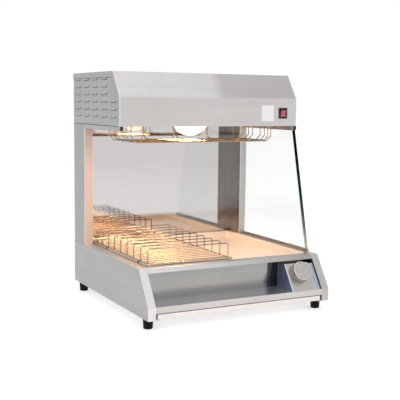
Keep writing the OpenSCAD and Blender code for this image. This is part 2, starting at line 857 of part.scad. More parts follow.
// Lamp guard: a shallow basket of long and cross wires under a rim
module lamp_guard() {
    half_x = guard_w / 2;
    half_y = guard_d / 2;
    rim_r = guard_rim_r;
    rx = half_x + guard_bevel;
    ry = half_y + guard_bevel;
    color("silver") in_cabinet() translate([body_w / 2, guard_y, 0]) {
        for (k = guard_long)
            translate([0, k * (half_y - guard_inset_y), guard_z]) guard_wire(half_x, guard_rim_z - guard_z);
        for (k = guard_cross)
            translate([k * (half_x - guard_inset_x), 0, guard_z + guard_lift]) rotate([0, 0, 90])
                guard_wire(half_y, guard_rim_z - guard_z - guard_lift);
        for (side = [0, 1])
            mirror([side, 0, 0]) {
                wire_y(rx, rim_r - ry, ry - rim_r, guard_rim_z, guard_rim_d);
                bend_xy(rx - rim_r, ry - rim_r, guard_rim_z, rim_r, 0, 90, guard_rim_d);
                bend_xy(rx - rim_r, rim_r - ry, guard_rim_z, rim_r, -90, 90, guard_rim_d);
            }
        wire_x(rim_r - rx, rx - rim_r, -ry, guard_rim_z, guard_rim_d);
        wire_x(rim_r - rx, rx - rim_r, ry, guard_rim_z, guard_rim_d);
    }
}

// One guard wire: flat bottom, sloped shoulders and upright ends, with a small knuckle at each bend
module guard_wire(half, rise) {
    wire_x(-half, half, 0, 0, guard_wire_d);
    for (side = [0, 1])
        mirror([side, 0, 0]) translate([half, 0, 0]) {
            knuckle();
            rotate([0, 45, 0]) cylinder(h = guard_bevel / sin(45), d = guard_wire_d);
            translate([guard_bevel, 0, guard_bevel]) {
                knuckle();
                cylinder(h = rise - guard_bevel, d = guard_wire_d);
            }
        }
}

module knuckle() {
    sphere(d = guard_wire_d * knuckle_size);
}

// Saddles that hold the guard's rim to the ceiling
module guard_clips() {
    ry = guard_d / 2 + guard_bevel;
    low_z = guard_rim_z - guard_rim_d / 2 - sheet;
    color("gray") in_cabinet() translate([body_w / 2, guard_y, 0]) for (x = [-0.75, 0.75])
        for (y = [-ry, ry])
            translate([x * guard_w / 2, y, 0]) difference() {
                block([-clip_half_w, -guard_rim_d / 2 - clip_wall, low_z],
                    [clip_half_w, guard_rim_d / 2 + clip_wall, ceiling_z]);
                block([-clip_half_w - 1, -guard_rim_d / 2 - 0.1, low_z + sheet],
                    [clip_half_w + 1, guard_rim_d / 2 + 0.1, ceiling_z + 1]);
            }
}

// Rocker switch: bezel, body with a cavity for the rocker, and four blades
module switch_body() {
    face_y = hood_y - bezel_t;
    color("black") in_cabinet() translate([switch_x, 0, switch_z]) difference() {
        union() {
            block([-bezel_w / 2, face_y, -bezel_h / 2], [bezel_w / 2, hood_y, bezel_h / 2]);
            block([0.1 - cutout_w / 2, face_y, 0.1 - cutout_h / 2],
                [cutout_w / 2 - 0.1, hood_y + 24, cutout_h / 2 - 0.1]);
            for (x = [-7, 7])
                for (z = [-7, 7])
                    block([x - 3, hood_y + 23, z - 0.4], [x + 3, hood_y + 33, z + 0.4]);
        }
        block([-rocker_w / 2 - rocker_gap, face_y - 1, -rocker_r - rocker_gap],
            [rocker_w / 2 + rocker_gap, pivot_y + rocker_r + 1, rocker_r + rocker_gap]);
        wire_x(-rocker_w / 2 - 1.3, rocker_w / 2 + 1.3, pivot_y, 0, 3.1);
    }
}

// Rocker with a shallow V face, tilted to its rest position
module switch_rocker() {
    front = pivot_in + rocker_out;
    color("red") in_cabinet() translate([switch_x, pivot_y, switch_z]) rotate([rocker_tilt, 0, 0]) {
        translate([-rocker_w / 2, 0, 0]) rotate([90, 0, 90]) linear_extrude(rocker_w) difference() {
            circle(rocker_r);
            polygon([[-front, rocker_r + 1], [-front, rocker_h / 2], [0.2 - pivot_in, 0],
                [-front, -rocker_h / 2],
                [-front, -rocker_r - 1], [-rocker_r - 1, -rocker_r - 1], [-rocker_r - 1, rocker_r + 1]]);
            translate([6, -rocker_r - 1]) square([rocker_r, 2 * rocker_r + 2]);
        }
        wire_x(-rocker_w / 2 - 1, rocker_w / 2 + 1, 0, 0, 3);
    }
}

// Screws in the rear sheets
module rear_screw_places() {
    for (x = [12, body_w / 2, body_w - 12])
        for (z = [14, base_h - 14, hood_z + 14, top_z - lip_drop - 12])
            translate([x, body_d, z]) children();
    for (x = [post_w + 10, body_w - post_w - 10])
        for (z = [base_h + 20, (base_h + hood_z) / 2, hood_z - 20])
            translate([x, body_d, z]) children();
}

module rear_screw_holes() {
    rear_screw_places() rotate([90, 0, 0]) translate([0, 0, -1]) cylinder(h = sheet + 2, d = 4);
}

module rear_screws() {
    color("gray") in_cabinet() rear_screw_places() rotate([-90, 0, 0]) difference() {
        union() {
            cylinder(h = 2.4, d = 8);
            translate([0, 0, -sheet]) cylinder(h = sheet + 1, d = 3.8);
        }
        for (turn = [0, 90])
            rotate([0, 0, turn]) block([-2.4, -0.45, 1.2], [2.4, 0.45, 3]);
    }
}

base_side_left();
base_side_right();
front_rail();
recess_liner();
bottom_pan();
base_rear_panel();
rear_deck();
control_box();
thermostat();
dial_spindle();
dial_knob();
heat_pan();
heating_element();
element_saddles();
terminal_block();
cord_gland();
chip_tray();
rack_frame();
rack_hoops();
feet();
post_left();
post_right();
mirror_wall();
rear_wall();
glass_channel_left();
glass_channel_right();
channel_plugs();
glass_foot_channel();
side_glass();
hood_side_left();
hood_side_right();
hood_fascia();
hood_top();
hood_rear();
hood_ceiling();
lamp_bracket();
lamp_holder();
heat_lamp();
lamp_guard();
guard_clips();
switch_body();
switch_rocker();
rear_screws();
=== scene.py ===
"""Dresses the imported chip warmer: rolled folds, bent wires, glass, lamp, knob, switch and a plain studio."""

import functools
import logging
import math
from abc import ABC, abstractmethod
from collections.abc import Callable, Iterable, Sequence
from dataclasses import dataclass
from enum import Enum

import bmesh
import bpy
from bmesh.types import BMEdge, BMesh, BMFace, BMVert
from bpy.types import ID, Material, Node, NodeSocket, NodeTree, Object
from mathutils import Matrix, Vector


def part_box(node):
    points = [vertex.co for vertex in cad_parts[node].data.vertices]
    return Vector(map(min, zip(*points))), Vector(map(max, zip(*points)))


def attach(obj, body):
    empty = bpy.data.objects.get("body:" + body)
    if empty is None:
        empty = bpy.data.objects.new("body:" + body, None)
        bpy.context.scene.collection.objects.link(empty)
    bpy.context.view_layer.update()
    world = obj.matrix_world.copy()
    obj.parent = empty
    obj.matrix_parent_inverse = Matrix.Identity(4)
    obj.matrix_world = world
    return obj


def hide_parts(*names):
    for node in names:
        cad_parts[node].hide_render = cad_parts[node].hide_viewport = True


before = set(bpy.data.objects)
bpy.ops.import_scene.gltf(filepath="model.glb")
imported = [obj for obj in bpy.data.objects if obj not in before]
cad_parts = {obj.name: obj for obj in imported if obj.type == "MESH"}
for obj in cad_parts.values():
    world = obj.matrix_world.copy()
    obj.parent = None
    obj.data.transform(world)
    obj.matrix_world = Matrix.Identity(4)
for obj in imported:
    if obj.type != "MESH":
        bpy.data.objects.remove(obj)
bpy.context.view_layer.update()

log = logging.getLogger("chip_warmer")

MM = 0.001
FULL_TURN = math.tau
QUARTER = math.pi / 2
CABINET_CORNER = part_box("base_side_left")[0]
BLACK = (0.0, 0.0, 0.0, 1.0)
WHITE = (1.0, 1.0, 1.0, 1.0)
TINY = 1e-6
ACROSS = Vector((1, 0, 0))
BACK = Vector((0, 1, 0))
UP = Vector((0, 0, 1))

# A rolled fold is at least this long and sharp, and the faces beside it are wider than the sheet's own edge
SHORTEST_FOLD = 0.012
FLATTEST_FOLD = math.radians(15)
SHEET_EDGE = 0.0032

Colour = tuple[float, float, float]


class Run(Enum):
    """Direction in which a sheet was brushed, as how much its grain is squeezed along X, Y and Z."""

    ALONG_X = (0.02, 1.0, 1.0)
    ALONG_Y = (1.0, 0.02, 1.0)
    ALONG_Z = (1.0, 1.0, 0.02)


def place(x: float, y: float, z: float) -> Vector:
    """Turns cabinet millimetres into a point of the frame.

    Args:
        x: Distance from the cabinet's left side.
        y: Distance from its front lip.
        z: Height above the underside of the base.

    Returns:
        The point in metres.
    """
    return CABINET_CORNER + Vector((x, y, z)) * MM


def linear(red: float, green: float, blue: float) -> tuple[float, float, float, float]:
    """Turns a display colour of 0 to 255 into the linear colour that a shader takes.

    Args:
        red: Red as displayed.
        green: Green as displayed.
        blue: Blue as displayed.

    Returns:
        Linear red, green, blue and an alpha of 1.
    """
    def channel(value: float) -> float:
        """Returns one channel as linear light."""
        part = value / 255
        return part / 12.92 if part <= 0.04045 else ((part + 0.055) / 1.055) ** 2.4

    return channel(red), channel(green), channel(blue), 1.0


# Node groups that several finishes share


class Wiring:
    """Places nodes in a tree from left to right and joins them."""

    def __init__(self, tree: NodeTree) -> None:
        """Starts on a node tree."""
        self.tree = tree
        self.count = 0

    def add(self, kind: str, inputs: dict | None = None, **settings: object) -> Node:
        """Adds a node.

        Args:
            kind: Blender's name of the node type.
            inputs: Values or sockets for its inputs, by name or number.
            **settings: Properties of the node.

        Returns:
            The new node.
        """
        node = self.tree.nodes.new(kind)
        node.location = (180 * (self.count % 12), -220 * (self.count // 12))
        self.count += 1
        for name, value in settings.items():
            setattr(node, name, value)
        for key, value in (inputs or {}).items():
            if isinstance(value, NodeSocket):
                self.tree.links.new(value, node.inputs[key])
            else:
                node.inputs[key].default_value = value
        return node

    def maths(self, operation: str, first: object, second: object = 0.0) -> NodeSocket:
        """Returns the result of a Math node on two values or sockets."""
        return self.add("ShaderNodeMath", {0: first, 1: second}, operation=operation).outputs[0]

    def noise(self, vector: object, scale: float, detail: float = 3.0,
              roughness: float = 0.55) -> NodeSocket:
        """Returns the value of a noise texture on a vector."""
        inputs = {"Vector": vector, "Scale": scale, "Detail": detail, "Roughness": roughness}
        return self.add("ShaderNodeTexNoise", inputs).outputs["Fac"]

    def spread(self, value: object, low: float, high: float, out_low: float = 0.0,
               out_high: float = 1.0) -> NodeSocket:
        """Returns a value mapped from one range to another and clamped."""
        inputs = {"Value": value, "From Min": low, "From Max": high, "To Min": out_low, "To Max": out_high}
        return self.add("ShaderNodeMapRange", inputs).outputs["Result"]

    def blend(self, factor: object, first: object, second: object, mode: str = "MIX") -> NodeSocket:
        """Returns two colours mixed by a factor."""
        mix = self.add("ShaderNodeMix", {0: factor, 6: first, 7: second}, data_type="RGBA", blend_type=mode)
        return mix.outputs[2]

    def stretch(self, vector: object, scale: object) -> NodeSocket:
        """Returns a vector multiplied by another."""
        return self.add("ShaderNodeVectorMath", {0: vector, 1: scale}, operation="MULTIPLY").outputs[0]

    def seen(self) -> NodeSocket:
        """Returns 1 for what is seen, also in metal and through glass, and 0 for light on matt surfaces."""
        path = self.add("ShaderNodeLightPath").outputs
        shiny = self.maths("MAXIMUM", path["Is Glossy Ray"], path["Is Transmission Ray"])
        return self.maths("MAXIMUM", path["Is Camera Ray"], shiny)


def new_group(name: str, inputs: Sequence[tuple[str, str, object]],
              outputs: Sequence[tuple[str, str]]) -> tuple[NodeTree, Wiring, dict, dict]:
    """Starts a node group with named sockets.

    Args:
        name: Name of the group.
        inputs: Name, socket type and default of each input.
        outputs: Name and socket type of each output.

    Returns:
        The group, its wiring, its input sockets by name and its output sockets by name.
    """
    tree = bpy.data.node_groups.new(name, "ShaderNodeTree")
    for label, kind, default in inputs:
        socket = tree.interface.new_socket(label, in_out="INPUT", socket_type=kind)
        if default is not None:
            socket.default_value = default
    for label, kind in outputs:
        tree.interface.new_socket(label, in_out="OUTPUT", socket_type=kind)
    wiring = Wiring(tree)
    entry = wiring.add("NodeGroupInput")
    leave = wiring.add("NodeGroupOutput")
    return tree, wiring, {s.name: s for s in entry.outputs}, {s.name: s for s in leave.inputs}


class Effects:
    """The node groups that the finishes share: brushed grain, smudges, and a yellow tint from heating that is
    partly painted lamp light.
    """

    def __init__(self) -> None:
        """Builds each group once."""
        self.grain = self.brushed_grain()
        self.smudge = self.smudges()
        self.warm_tint = self.heat_tint_and_glow()

    def brushed_grain(self) -> NodeTree:
        """Builds the grain of brushed sheet: fine lines, broad bands and soft clouds.

        Returns:
            A group that puts out a colour, a roughness and a height.
        """
        tree, w, given, out = new_group("brushed_grain", [
            ("Vector", "NodeSocketVector", None), ("Squeeze", "NodeSocketVector", (1.0, 1.0, 1.0)),
            ("Tone", "NodeSocketColor", (0.5, 0.5, 0.5, 1)), ("Shade", "NodeSocketColor", (0.4, 0.4, 0.4, 1)),
            ("Depth", "NodeSocketFloat", 0.5), ("Rough", "NodeSocketFloat", 0.3),
            ("Spread", "NodeSocketFloat", 0.1),
        ], [("Color", "NodeSocketColor"), ("Roughness", "NodeSocketFloat"), ("Height", "NodeSocketFloat")])
        along = w.stretch(given["Vector"], given["Squeeze"])
        fine = w.noise(along, 1400.0, 2.0)
        band = w.noise(along, 90.0, 3.0, 0.6)
        cloud = w.noise(given["Vector"], 5.0, 3.0)
        lines = w.maths("ADD", w.maths("MULTIPLY", fine, 0.35), w.maths("MULTIPLY", band, 0.65))
        mixed = w.maths("ADD", w.maths("MULTIPLY", lines, 0.6), w.maths("MULTIPLY", cloud, 0.4))
        worn = w.maths("MULTIPLY", w.spread(mixed, 0.3, 0.7), given["Depth"])
        w.tree.links.new(w.blend(worn, given["Tone"], given["Shade"]), out["Color"])
        change = w.maths("MULTIPLY", w.maths("SUBTRACT", lines, 0.5), given["Spread"])
        w.tree.links.new(w.maths("ADD", given["Rough"], change), out["Roughness"])
        w.tree.links.new(fine, out["Height"])
        return tree

    def smudges(self) -> NodeTree:
        """Builds faint wiped and touched patches.

        Returns:
            A group that puts out a mask.
        """
        tree, w, given, out = new_group("smudges", [
            ("Vector", "NodeSocketVector", None), ("Scale", "NodeSocketFloat", 1.0),
            ("Amount", "NodeSocketFloat", 0.5),
        ], [("Mask", "NodeSocketFloat")])
        scaled = w.add("ShaderNodeVectorMath", {0: given["Vector"], "Scale": given["Scale"]},
                       operation="SCALE")
        broad = w.noise(scaled.outputs[0], 9.0, 4.0, 0.6)
        spots = w.noise(scaled.outputs[0], 60.0, 2.0)
        patches = w.maths("MULTIPLY", w.spread(broad, 0.48, 0.75), w.spread(spots, 0.3, 0.7))
        w.tree.links.new(w.maths("MULTIPLY", patches, given["Amount"]), out["Mask"])
        return tree

    def heat_tint_and_glow(self) -> NodeTree:
        """Builds the yellow tint that bright steel takes from heating near the lamp, which also paints the
        lamp's warm light on it.

        Returns:
            A group that puts out a mask, 1 at the centre and 0 beyond the reach.
        """
        tree, w, given, out = new_group("heat_tint_and_glow", [
            ("Vector", "NodeSocketVector", None), ("Centre", "NodeSocketVector", (0.0, 0.0, 0.5)),
            ("Reach", "NodeSocketFloat", 0.2),
        ], [("Mask", "NodeSocketFloat")])
        gap = w.add("ShaderNodeVectorMath", {0: given["Vector"], 1: given["Centre"]}, operation="DISTANCE")
        near = w.maths("DIVIDE", gap.outputs["Value"], given["Reach"])
        ragged = w.maths("ADD", near, w.maths("MULTIPLY", w.noise(given["Vector"], 40.0, 2.0), 0.3))
        w.tree.links.new(w.spread(ragged, 0.3, 1.2, 1.0, 0.0), out["Mask"])
        return tree


EFFECTS = Effects()


# Finishes


class MaterialSheet:
    """One new material with its Principled shader, Object coordinates and wiring."""

    def __init__(self, name: str) -> None:
        """Makes an empty node material with that name."""
        self.material = bpy.data.materials.new(name)
        self.material.use_nodes = True
        tree = self.material.node_tree
        tree.nodes.clear()
        self.wiring = Wiring(tree)
        self.coordinates = self.wiring.add("ShaderNodeTexCoord").outputs["Object"]
        self.shader = self.wiring.add("ShaderNodeBsdfPrincipled")
        output = self.wiring.add("ShaderNodeOutputMaterial")
        tree.links.new(self.shader.outputs[0], output.inputs["Surface"])

    def feed(self, socket: str, source: object) -> None:
        """Sets a socket of the shader, or links a node's output to it."""
        if isinstance(source, NodeSocket):
            self.wiring.tree.links.new(source, self.shader.inputs[socket])
        else:
            self.shader.inputs[socket].default_value = source

    def group(self, tree: NodeTree, **values: object) -> Node:
        """Places a shared group and sets its inputs; underscores in the names stand for spaces."""
        node = self.wiring.add("ShaderNodeGroup", node_tree=tree)
        for label, value in values.items():
            socket = node.inputs[label.replace("_", " ")]
            if isinstance(value, NodeSocket):
                self.wiring.tree.links.new(value, socket)
            else:
                socket.default_value = value
        return node

    def bump(self, height: object, depth: float, strength: float) -> None:
        """Feeds a Bump node, with its depth in metres, to the shader's normal."""
        node = self.wiring.add("ShaderNodeBump", {"Height": height, "Distance": depth, "Strength": strength})
        self.feed("Normal", node.outputs[0])

    def axis(self, number: int) -> NodeSocket:
        """Returns one of the three coordinates, 0 for X to 2 for Z."""
        return self.wiring.add("ShaderNodeSeparateXYZ", {0: self.coordinates}).outputs[number]

    def smudges(self, scale: float, amount: float) -> NodeSocket:
        """Returns the mask of wiped and touched patches."""
        return self.group(EFFECTS.smudge, Vector=self.coordinates, Scale=scale, Amount=amount).outputs["Mask"]

    def heated_and_glowing(self, colour: NodeSocket, reach: float, share: float, tint: Colour) -> NodeSocket:
        """Tints a colour near the lamp, as yellowing from heating and as painted warm lamp light.

        Args:
            colour: The colour.
            reach: Reach of the tint in metres, 0 for none.
            share: Share of the tint at the lamp.
            tint: Display colour of the tint.

        Returns:
            The tinted colour.
        """
        if not reach:
            return colour
        w = self.wiring
        # Yellowing from heating and painted warm lamp light, strongest at the lamp.
        near = self.group(EFFECTS.warm_tint, Vector=self.coordinates, Centre=tuple(LAMP_CENTRE), Reach=reach)
        return w.blend(w.maths("MULTIPLY", near.outputs["Mask"], share), colour, linear(*tint))


@dataclass(frozen=True)
class Finish(ABC):
    """A finish that is built into one node material.

    Attributes:
        name: Name of the material.
        tone: Display colour where the light is plain.
    """

    name: str
    tone: Colour

    def build(self) -> Material:
        """Returns the finished material."""
        sheet = MaterialSheet(self.name)
        self.lay(sheet, sheet.wiring)
        return sheet.material

    @abstractmethod
    def lay(self, m: MaterialSheet, w: Wiring) -> None:
        """Lays the nodes of the finish.

        Args:
            m: The material to fill.
            w: Its wiring.
        """


@dataclass(frozen=True)
class BrushedSteel(Finish):
    """Brushed stainless sheet.

    Attributes:
        shade: Display colour of its darker bands.
        run: Direction of the brushing.
        rough: Middle roughness.
        spread: How much the grain changes the roughness.
        smudged: Amount of wiped patches.
        straw_and_glow: Reach in metres of the yellow tint round the lamp, partly from heating and partly
            painted lamp light, 0 for none.
        metal: Share of the surface that reflects as clean metal; the rest is matt.
        painted_shade_span: Where the painted shade over the right part starts and is full, in metres from the
            middle.
        painted_shade_tone: Display colour that multiplies the right part as painted shade.
    """

    shade: Colour
    run: Run = Run.ALONG_X
    rough: float = 0.32
    spread: float = 0.16
    smudged: float = 0.35
    straw_and_glow: float = 0.0
    metal: float = 1.0
    painted_shade_span: tuple[float, float] | None = None
    painted_shade_tone: Colour = (230, 229, 228)

    def lay(self, m: MaterialSheet, w: Wiring) -> None:
        """Lays the nodes of the finish."""
        grain = m.group(EFFECTS.grain, Vector=m.coordinates, Squeeze=self.run.value, Tone=linear(*self.tone),
                        Shade=linear(*self.shade), Depth=0.8, Rough=self.rough, Spread=self.spread)
        mask = m.smudges(1.0, self.smudged)
        colour = w.blend(w.maths("MULTIPLY", mask, 0.25), grain.outputs["Color"], linear(120, 122, 124))
        colour = m.heated_and_glowing(colour, self.straw_and_glow, 0.35, (214, 178, 118))
        # Painted shade: the right part darkens towards its end, in place of the darker reflection there.
        if self.painted_shade_span:
            colour = w.blend(w.spread(m.axis(0), *self.painted_shade_span), colour, linear(*self.painted_shade_tone), "MULTIPLY")
        m.feed("Base Color", colour)
        m.feed("Metallic", self.metal)
        m.feed("Roughness", w.maths("ADD", grain.outputs["Roughness"], w.maths("MULTIPLY", mask, 0.12)))
        m.bump(grain.outputs["Height"], 0.00004, 0.35)


@dataclass(frozen=True)
class BrightSteel(Finish):
    """Polished wire, rod or turned steel.

    Attributes:
        rough: Middle roughness.
        straw_and_glow: Reach in metres of the yellow tint round the lamp, partly from heating and partly
            painted lamp light, 0 for none.
    """

    rough: float = 0.16
    straw_and_glow: float = 0.0

    def lay(self, m: MaterialSheet, w: Wiring) -> None:
        """Lays the nodes of the finish."""
        cloud = w.noise(m.coordinates, 120.0, 3.0)
        fine = w.noise(m.coordinates, 1800.0, 2.0)
        dark = linear(*(0.86 * part for part in self.tone))
        colour = w.blend(w.spread(cloud, 0.35, 0.7), linear(*self.tone), dark)
        m.feed("Base Color", m.heated_and_glowing(colour, self.straw_and_glow, 0.5, (208, 160, 98)))
        m.feed("Metallic", 1.0)
        m.feed("Roughness", w.spread(cloud, 0.3, 0.7, self.rough - 0.05, self.rough + 0.07))
        m.bump(fine, 0.00002, 0.2)


@dataclass(frozen=True)
class TurnedSteel(Finish):
    """Turned metal with fine rings about the dial's axis.

    Attributes:
        centre: A point on the axis.
        tilt: Turn about X that brings the axis upright.
    """

    centre: tuple[float, float, float]
    tilt: float

    def lay(self, m: MaterialSheet, w: Wiring) -> None:
        """Lays the nodes of the finish."""
        from_axis = w.add("ShaderNodeVectorMath", {0: m.coordinates, 1: self.centre}, operation="SUBTRACT")
        upright = {"Vector": from_axis.outputs[0], "Rotation": (-self.tilt, 0.0, 0.0)}
        turned = w.add("ShaderNodeMapping", upright, vector_type="POINT").outputs[0]
        flat = w.stretch(turned, (1.0, 1.0, 0.0))
        radius = w.add("ShaderNodeVectorMath", {0: flat}, operation="LENGTH").outputs["Value"]
        rings = w.maths("SINE", w.maths("MULTIPLY", radius, 9000.0))
        uneven = w.noise(turned, 160.0, 2.0)
        dark = linear(*(0.9 * part for part in self.tone))
        m.feed("Base Color", w.blend(w.spread(uneven, 0.3, 0.7), linear(*self.tone), dark))
        m.feed("Metallic", 1.0)
        m.feed("Roughness", w.spread(uneven, 0.175, 0.775, 0.16, 0.3))
        m.bump(rings, 0.00003, 0.35)


@dataclass(frozen=True)
class MouldedPlastic(Finish):
    """Moulded plastic or rubber with a fine texture.

    Attributes:
        worn: Display colour of its rubbed and dusty patches.
        rough: Middle roughness.
        grain: Scale of the moulded texture per metre.
        depth: Depth of the texture in metres.
        gloss: Strength of its reflection, 0.5 for plain plastic.
    """

    worn: Colour
    rough: float = 0.4
    grain: float = 1500.0
    depth: float = 0.00006
    gloss: float = 0.5

    def lay(self, m: MaterialSheet, w: Wiring) -> None:
        """Lays the nodes of the finish."""
        texture = w.noise(m.coordinates, self.grain, 3.0)
        mask = m.smudges(2.5, 0.8)
        m.feed("Base Color", w.blend(mask, linear(*self.tone), linear(*self.worn)))
        m.feed("Roughness", w.spread(w.maths("ADD", w.maths("MULTIPLY", texture, 0.3), mask), 0.0, 1.2,
                                     self.rough - 0.06, self.rough + 0.2))
        m.feed("Specular IOR Level", self.gloss)
        m.bump(texture, self.depth, 0.4)


@dataclass(frozen=True)
class ClearGlass(Finish):
    """Toughened float glass."""

    def lay(self, m: MaterialSheet, w: Wiring) -> None:
        """Lays the nodes of the finish."""
        mask = m.smudges(0.7, 1.0)
        faint = w.maths("MULTIPLY", mask, 0.2)
        m.feed("Base Color", w.blend(faint, linear(*self.tone), linear(232, 236, 234)))
        m.feed("Roughness", w.spread(mask, 0.0, 1.0, 0.0, 0.04))
        m.feed("Metallic", 0.0)
        m.feed("IOR", 1.5)
        m.feed("Transmission Weight", 1.0)


@dataclass(frozen=True)
class GlassEdge(Finish):
    """The ground edge of the glass, black where it is high, then deep green and grey towards its foot; the
    green is the glass's own tint and the darkening upwards is painted shade.

    Attributes:
        tones: Share of the height and display colour there, from the foot's plain tone up.
        foot: Height of the foot in metres.
        head: Height of the top in metres.
        inside: Display colour of the painted glow that the ground face gives off towards the inside of the
            glass, in place of light let through.
    """

    tones: tuple[tuple[float, Colour], ...]
    foot: float
    head: float
    inside: Colour = (236, 238, 238)

    def lay(self, m: MaterialSheet, w: Wiring) -> None:
        """Lays the nodes of the finish."""
        fine = w.noise(m.coordinates, 900.0, 2.0)
        rise = w.maths("ADD", m.axis(2), w.maths("MULTIPLY", fine, 0.006))
        climb = w.spread(rise, self.foot, self.head)
        ramp = w.add("ShaderNodeValToRGB", {0: climb})
        stops = ramp.color_ramp.elements
        tones = ((0.0, self.tone), *self.tones)
        while len(stops) < len(tones):
            stops.new(0.5)
        for stop, (share, tone) in zip(stops, tones):
            stop.position = share
            stop.color = linear(*tone)
        # Painted light: from within the glass, the edge glows with a fixed colour.
        within = w.add("ShaderNodeNewGeometry").outputs["Backfacing"]
        m.feed("Base Color", ramp.outputs[0])
        m.feed("Emission Color", w.blend(within, BLACK, linear(*self.inside)))
        m.feed("Emission Strength", 1.0)
        m.feed("Roughness", w.spread(fine, 0.3, 0.7, 0.3, 0.45))
        m.feed("Specular IOR Level", 0.04)
        m.bump(fine, 0.00003, 0.3)


@dataclass(frozen=True)
class GlowingGlass(Finish):
    """Frosted lamp glass that glows below the hood, with its plain tone at the tip, and is dark above it.

    Attributes:
        warm: Display colour of the glow at the shoulder.
        strength: Strength of the glow.
        tip: Height of the tip in metres.
        shoulder: Height at which the glow ends.
    """

    warm: Colour
    strength: float
    tip: float
    shoulder: float

    def lay(self, m: MaterialSheet, w: Wiring) -> None:
        """Lays the nodes of the finish."""
        frost = w.noise(m.coordinates, 700.0, 3.0)
        rise = w.maths("ADD", m.axis(2), w.maths("MULTIPLY", frost, 0.004))
        climb = w.spread(rise, self.tip, self.shoulder)
        m.feed("Base Color", linear(240, 236, 228))
        glow = w.blend(climb, linear(*self.tone), linear(*self.warm))
        m.feed("Emission Color", w.blend(w.spread(climb, 0.88, 1.0), glow, BLACK))
        m.feed("Emission Strength", self.strength)
        m.feed("Roughness", w.spread(frost, 0.3, 0.7, 0.3, 0.5))
        m.bump(frost, 0.00005, 0.3)


@dataclass(frozen=True)
class GlazedCeramic(Finish):
    """Off-white ceramic with a thin glaze."""

    def lay(self, m: MaterialSheet, w: Wiring) -> None:
        """Lays the nodes of the finish."""
        specks = w.spread(w.noise(m.coordinates, 500.0, 2.0), 0.62, 0.72)
        faint = w.maths("MULTIPLY", specks, 0.4)
        m.feed("Base Color", w.blend(faint, linear(*self.tone), linear(150, 140, 122)))
        m.feed("Roughness", w.spread(w.noise(m.coordinates, 90.0), 0.3, 0.7, 0.18, 0.34))
        m.feed("Coat Weight", 0.4)
        m.bump(w.noise(m.coordinates, 260.0), 0.00008, 0.3)


# Places that more than one finish or sub-assembly needs

MIDDLE = 300
LAMP_CENTRE = place(MIDDLE, 350, 549.5)
SLOPE_ANGLE = math.atan2(96, 63)
SLOPE_FOOT = 37
DIAL_UP = 58
DIAL_FOOT = place(513.5, DIAL_UP * math.cos(SLOPE_ANGLE), SLOPE_FOOT + DIAL_UP * math.sin(SLOPE_ANGLE))


def height(z: float) -> float:
    """Returns the frame's height in metres of a cabinet height in millimetres."""
    return place(0, 0, z).z
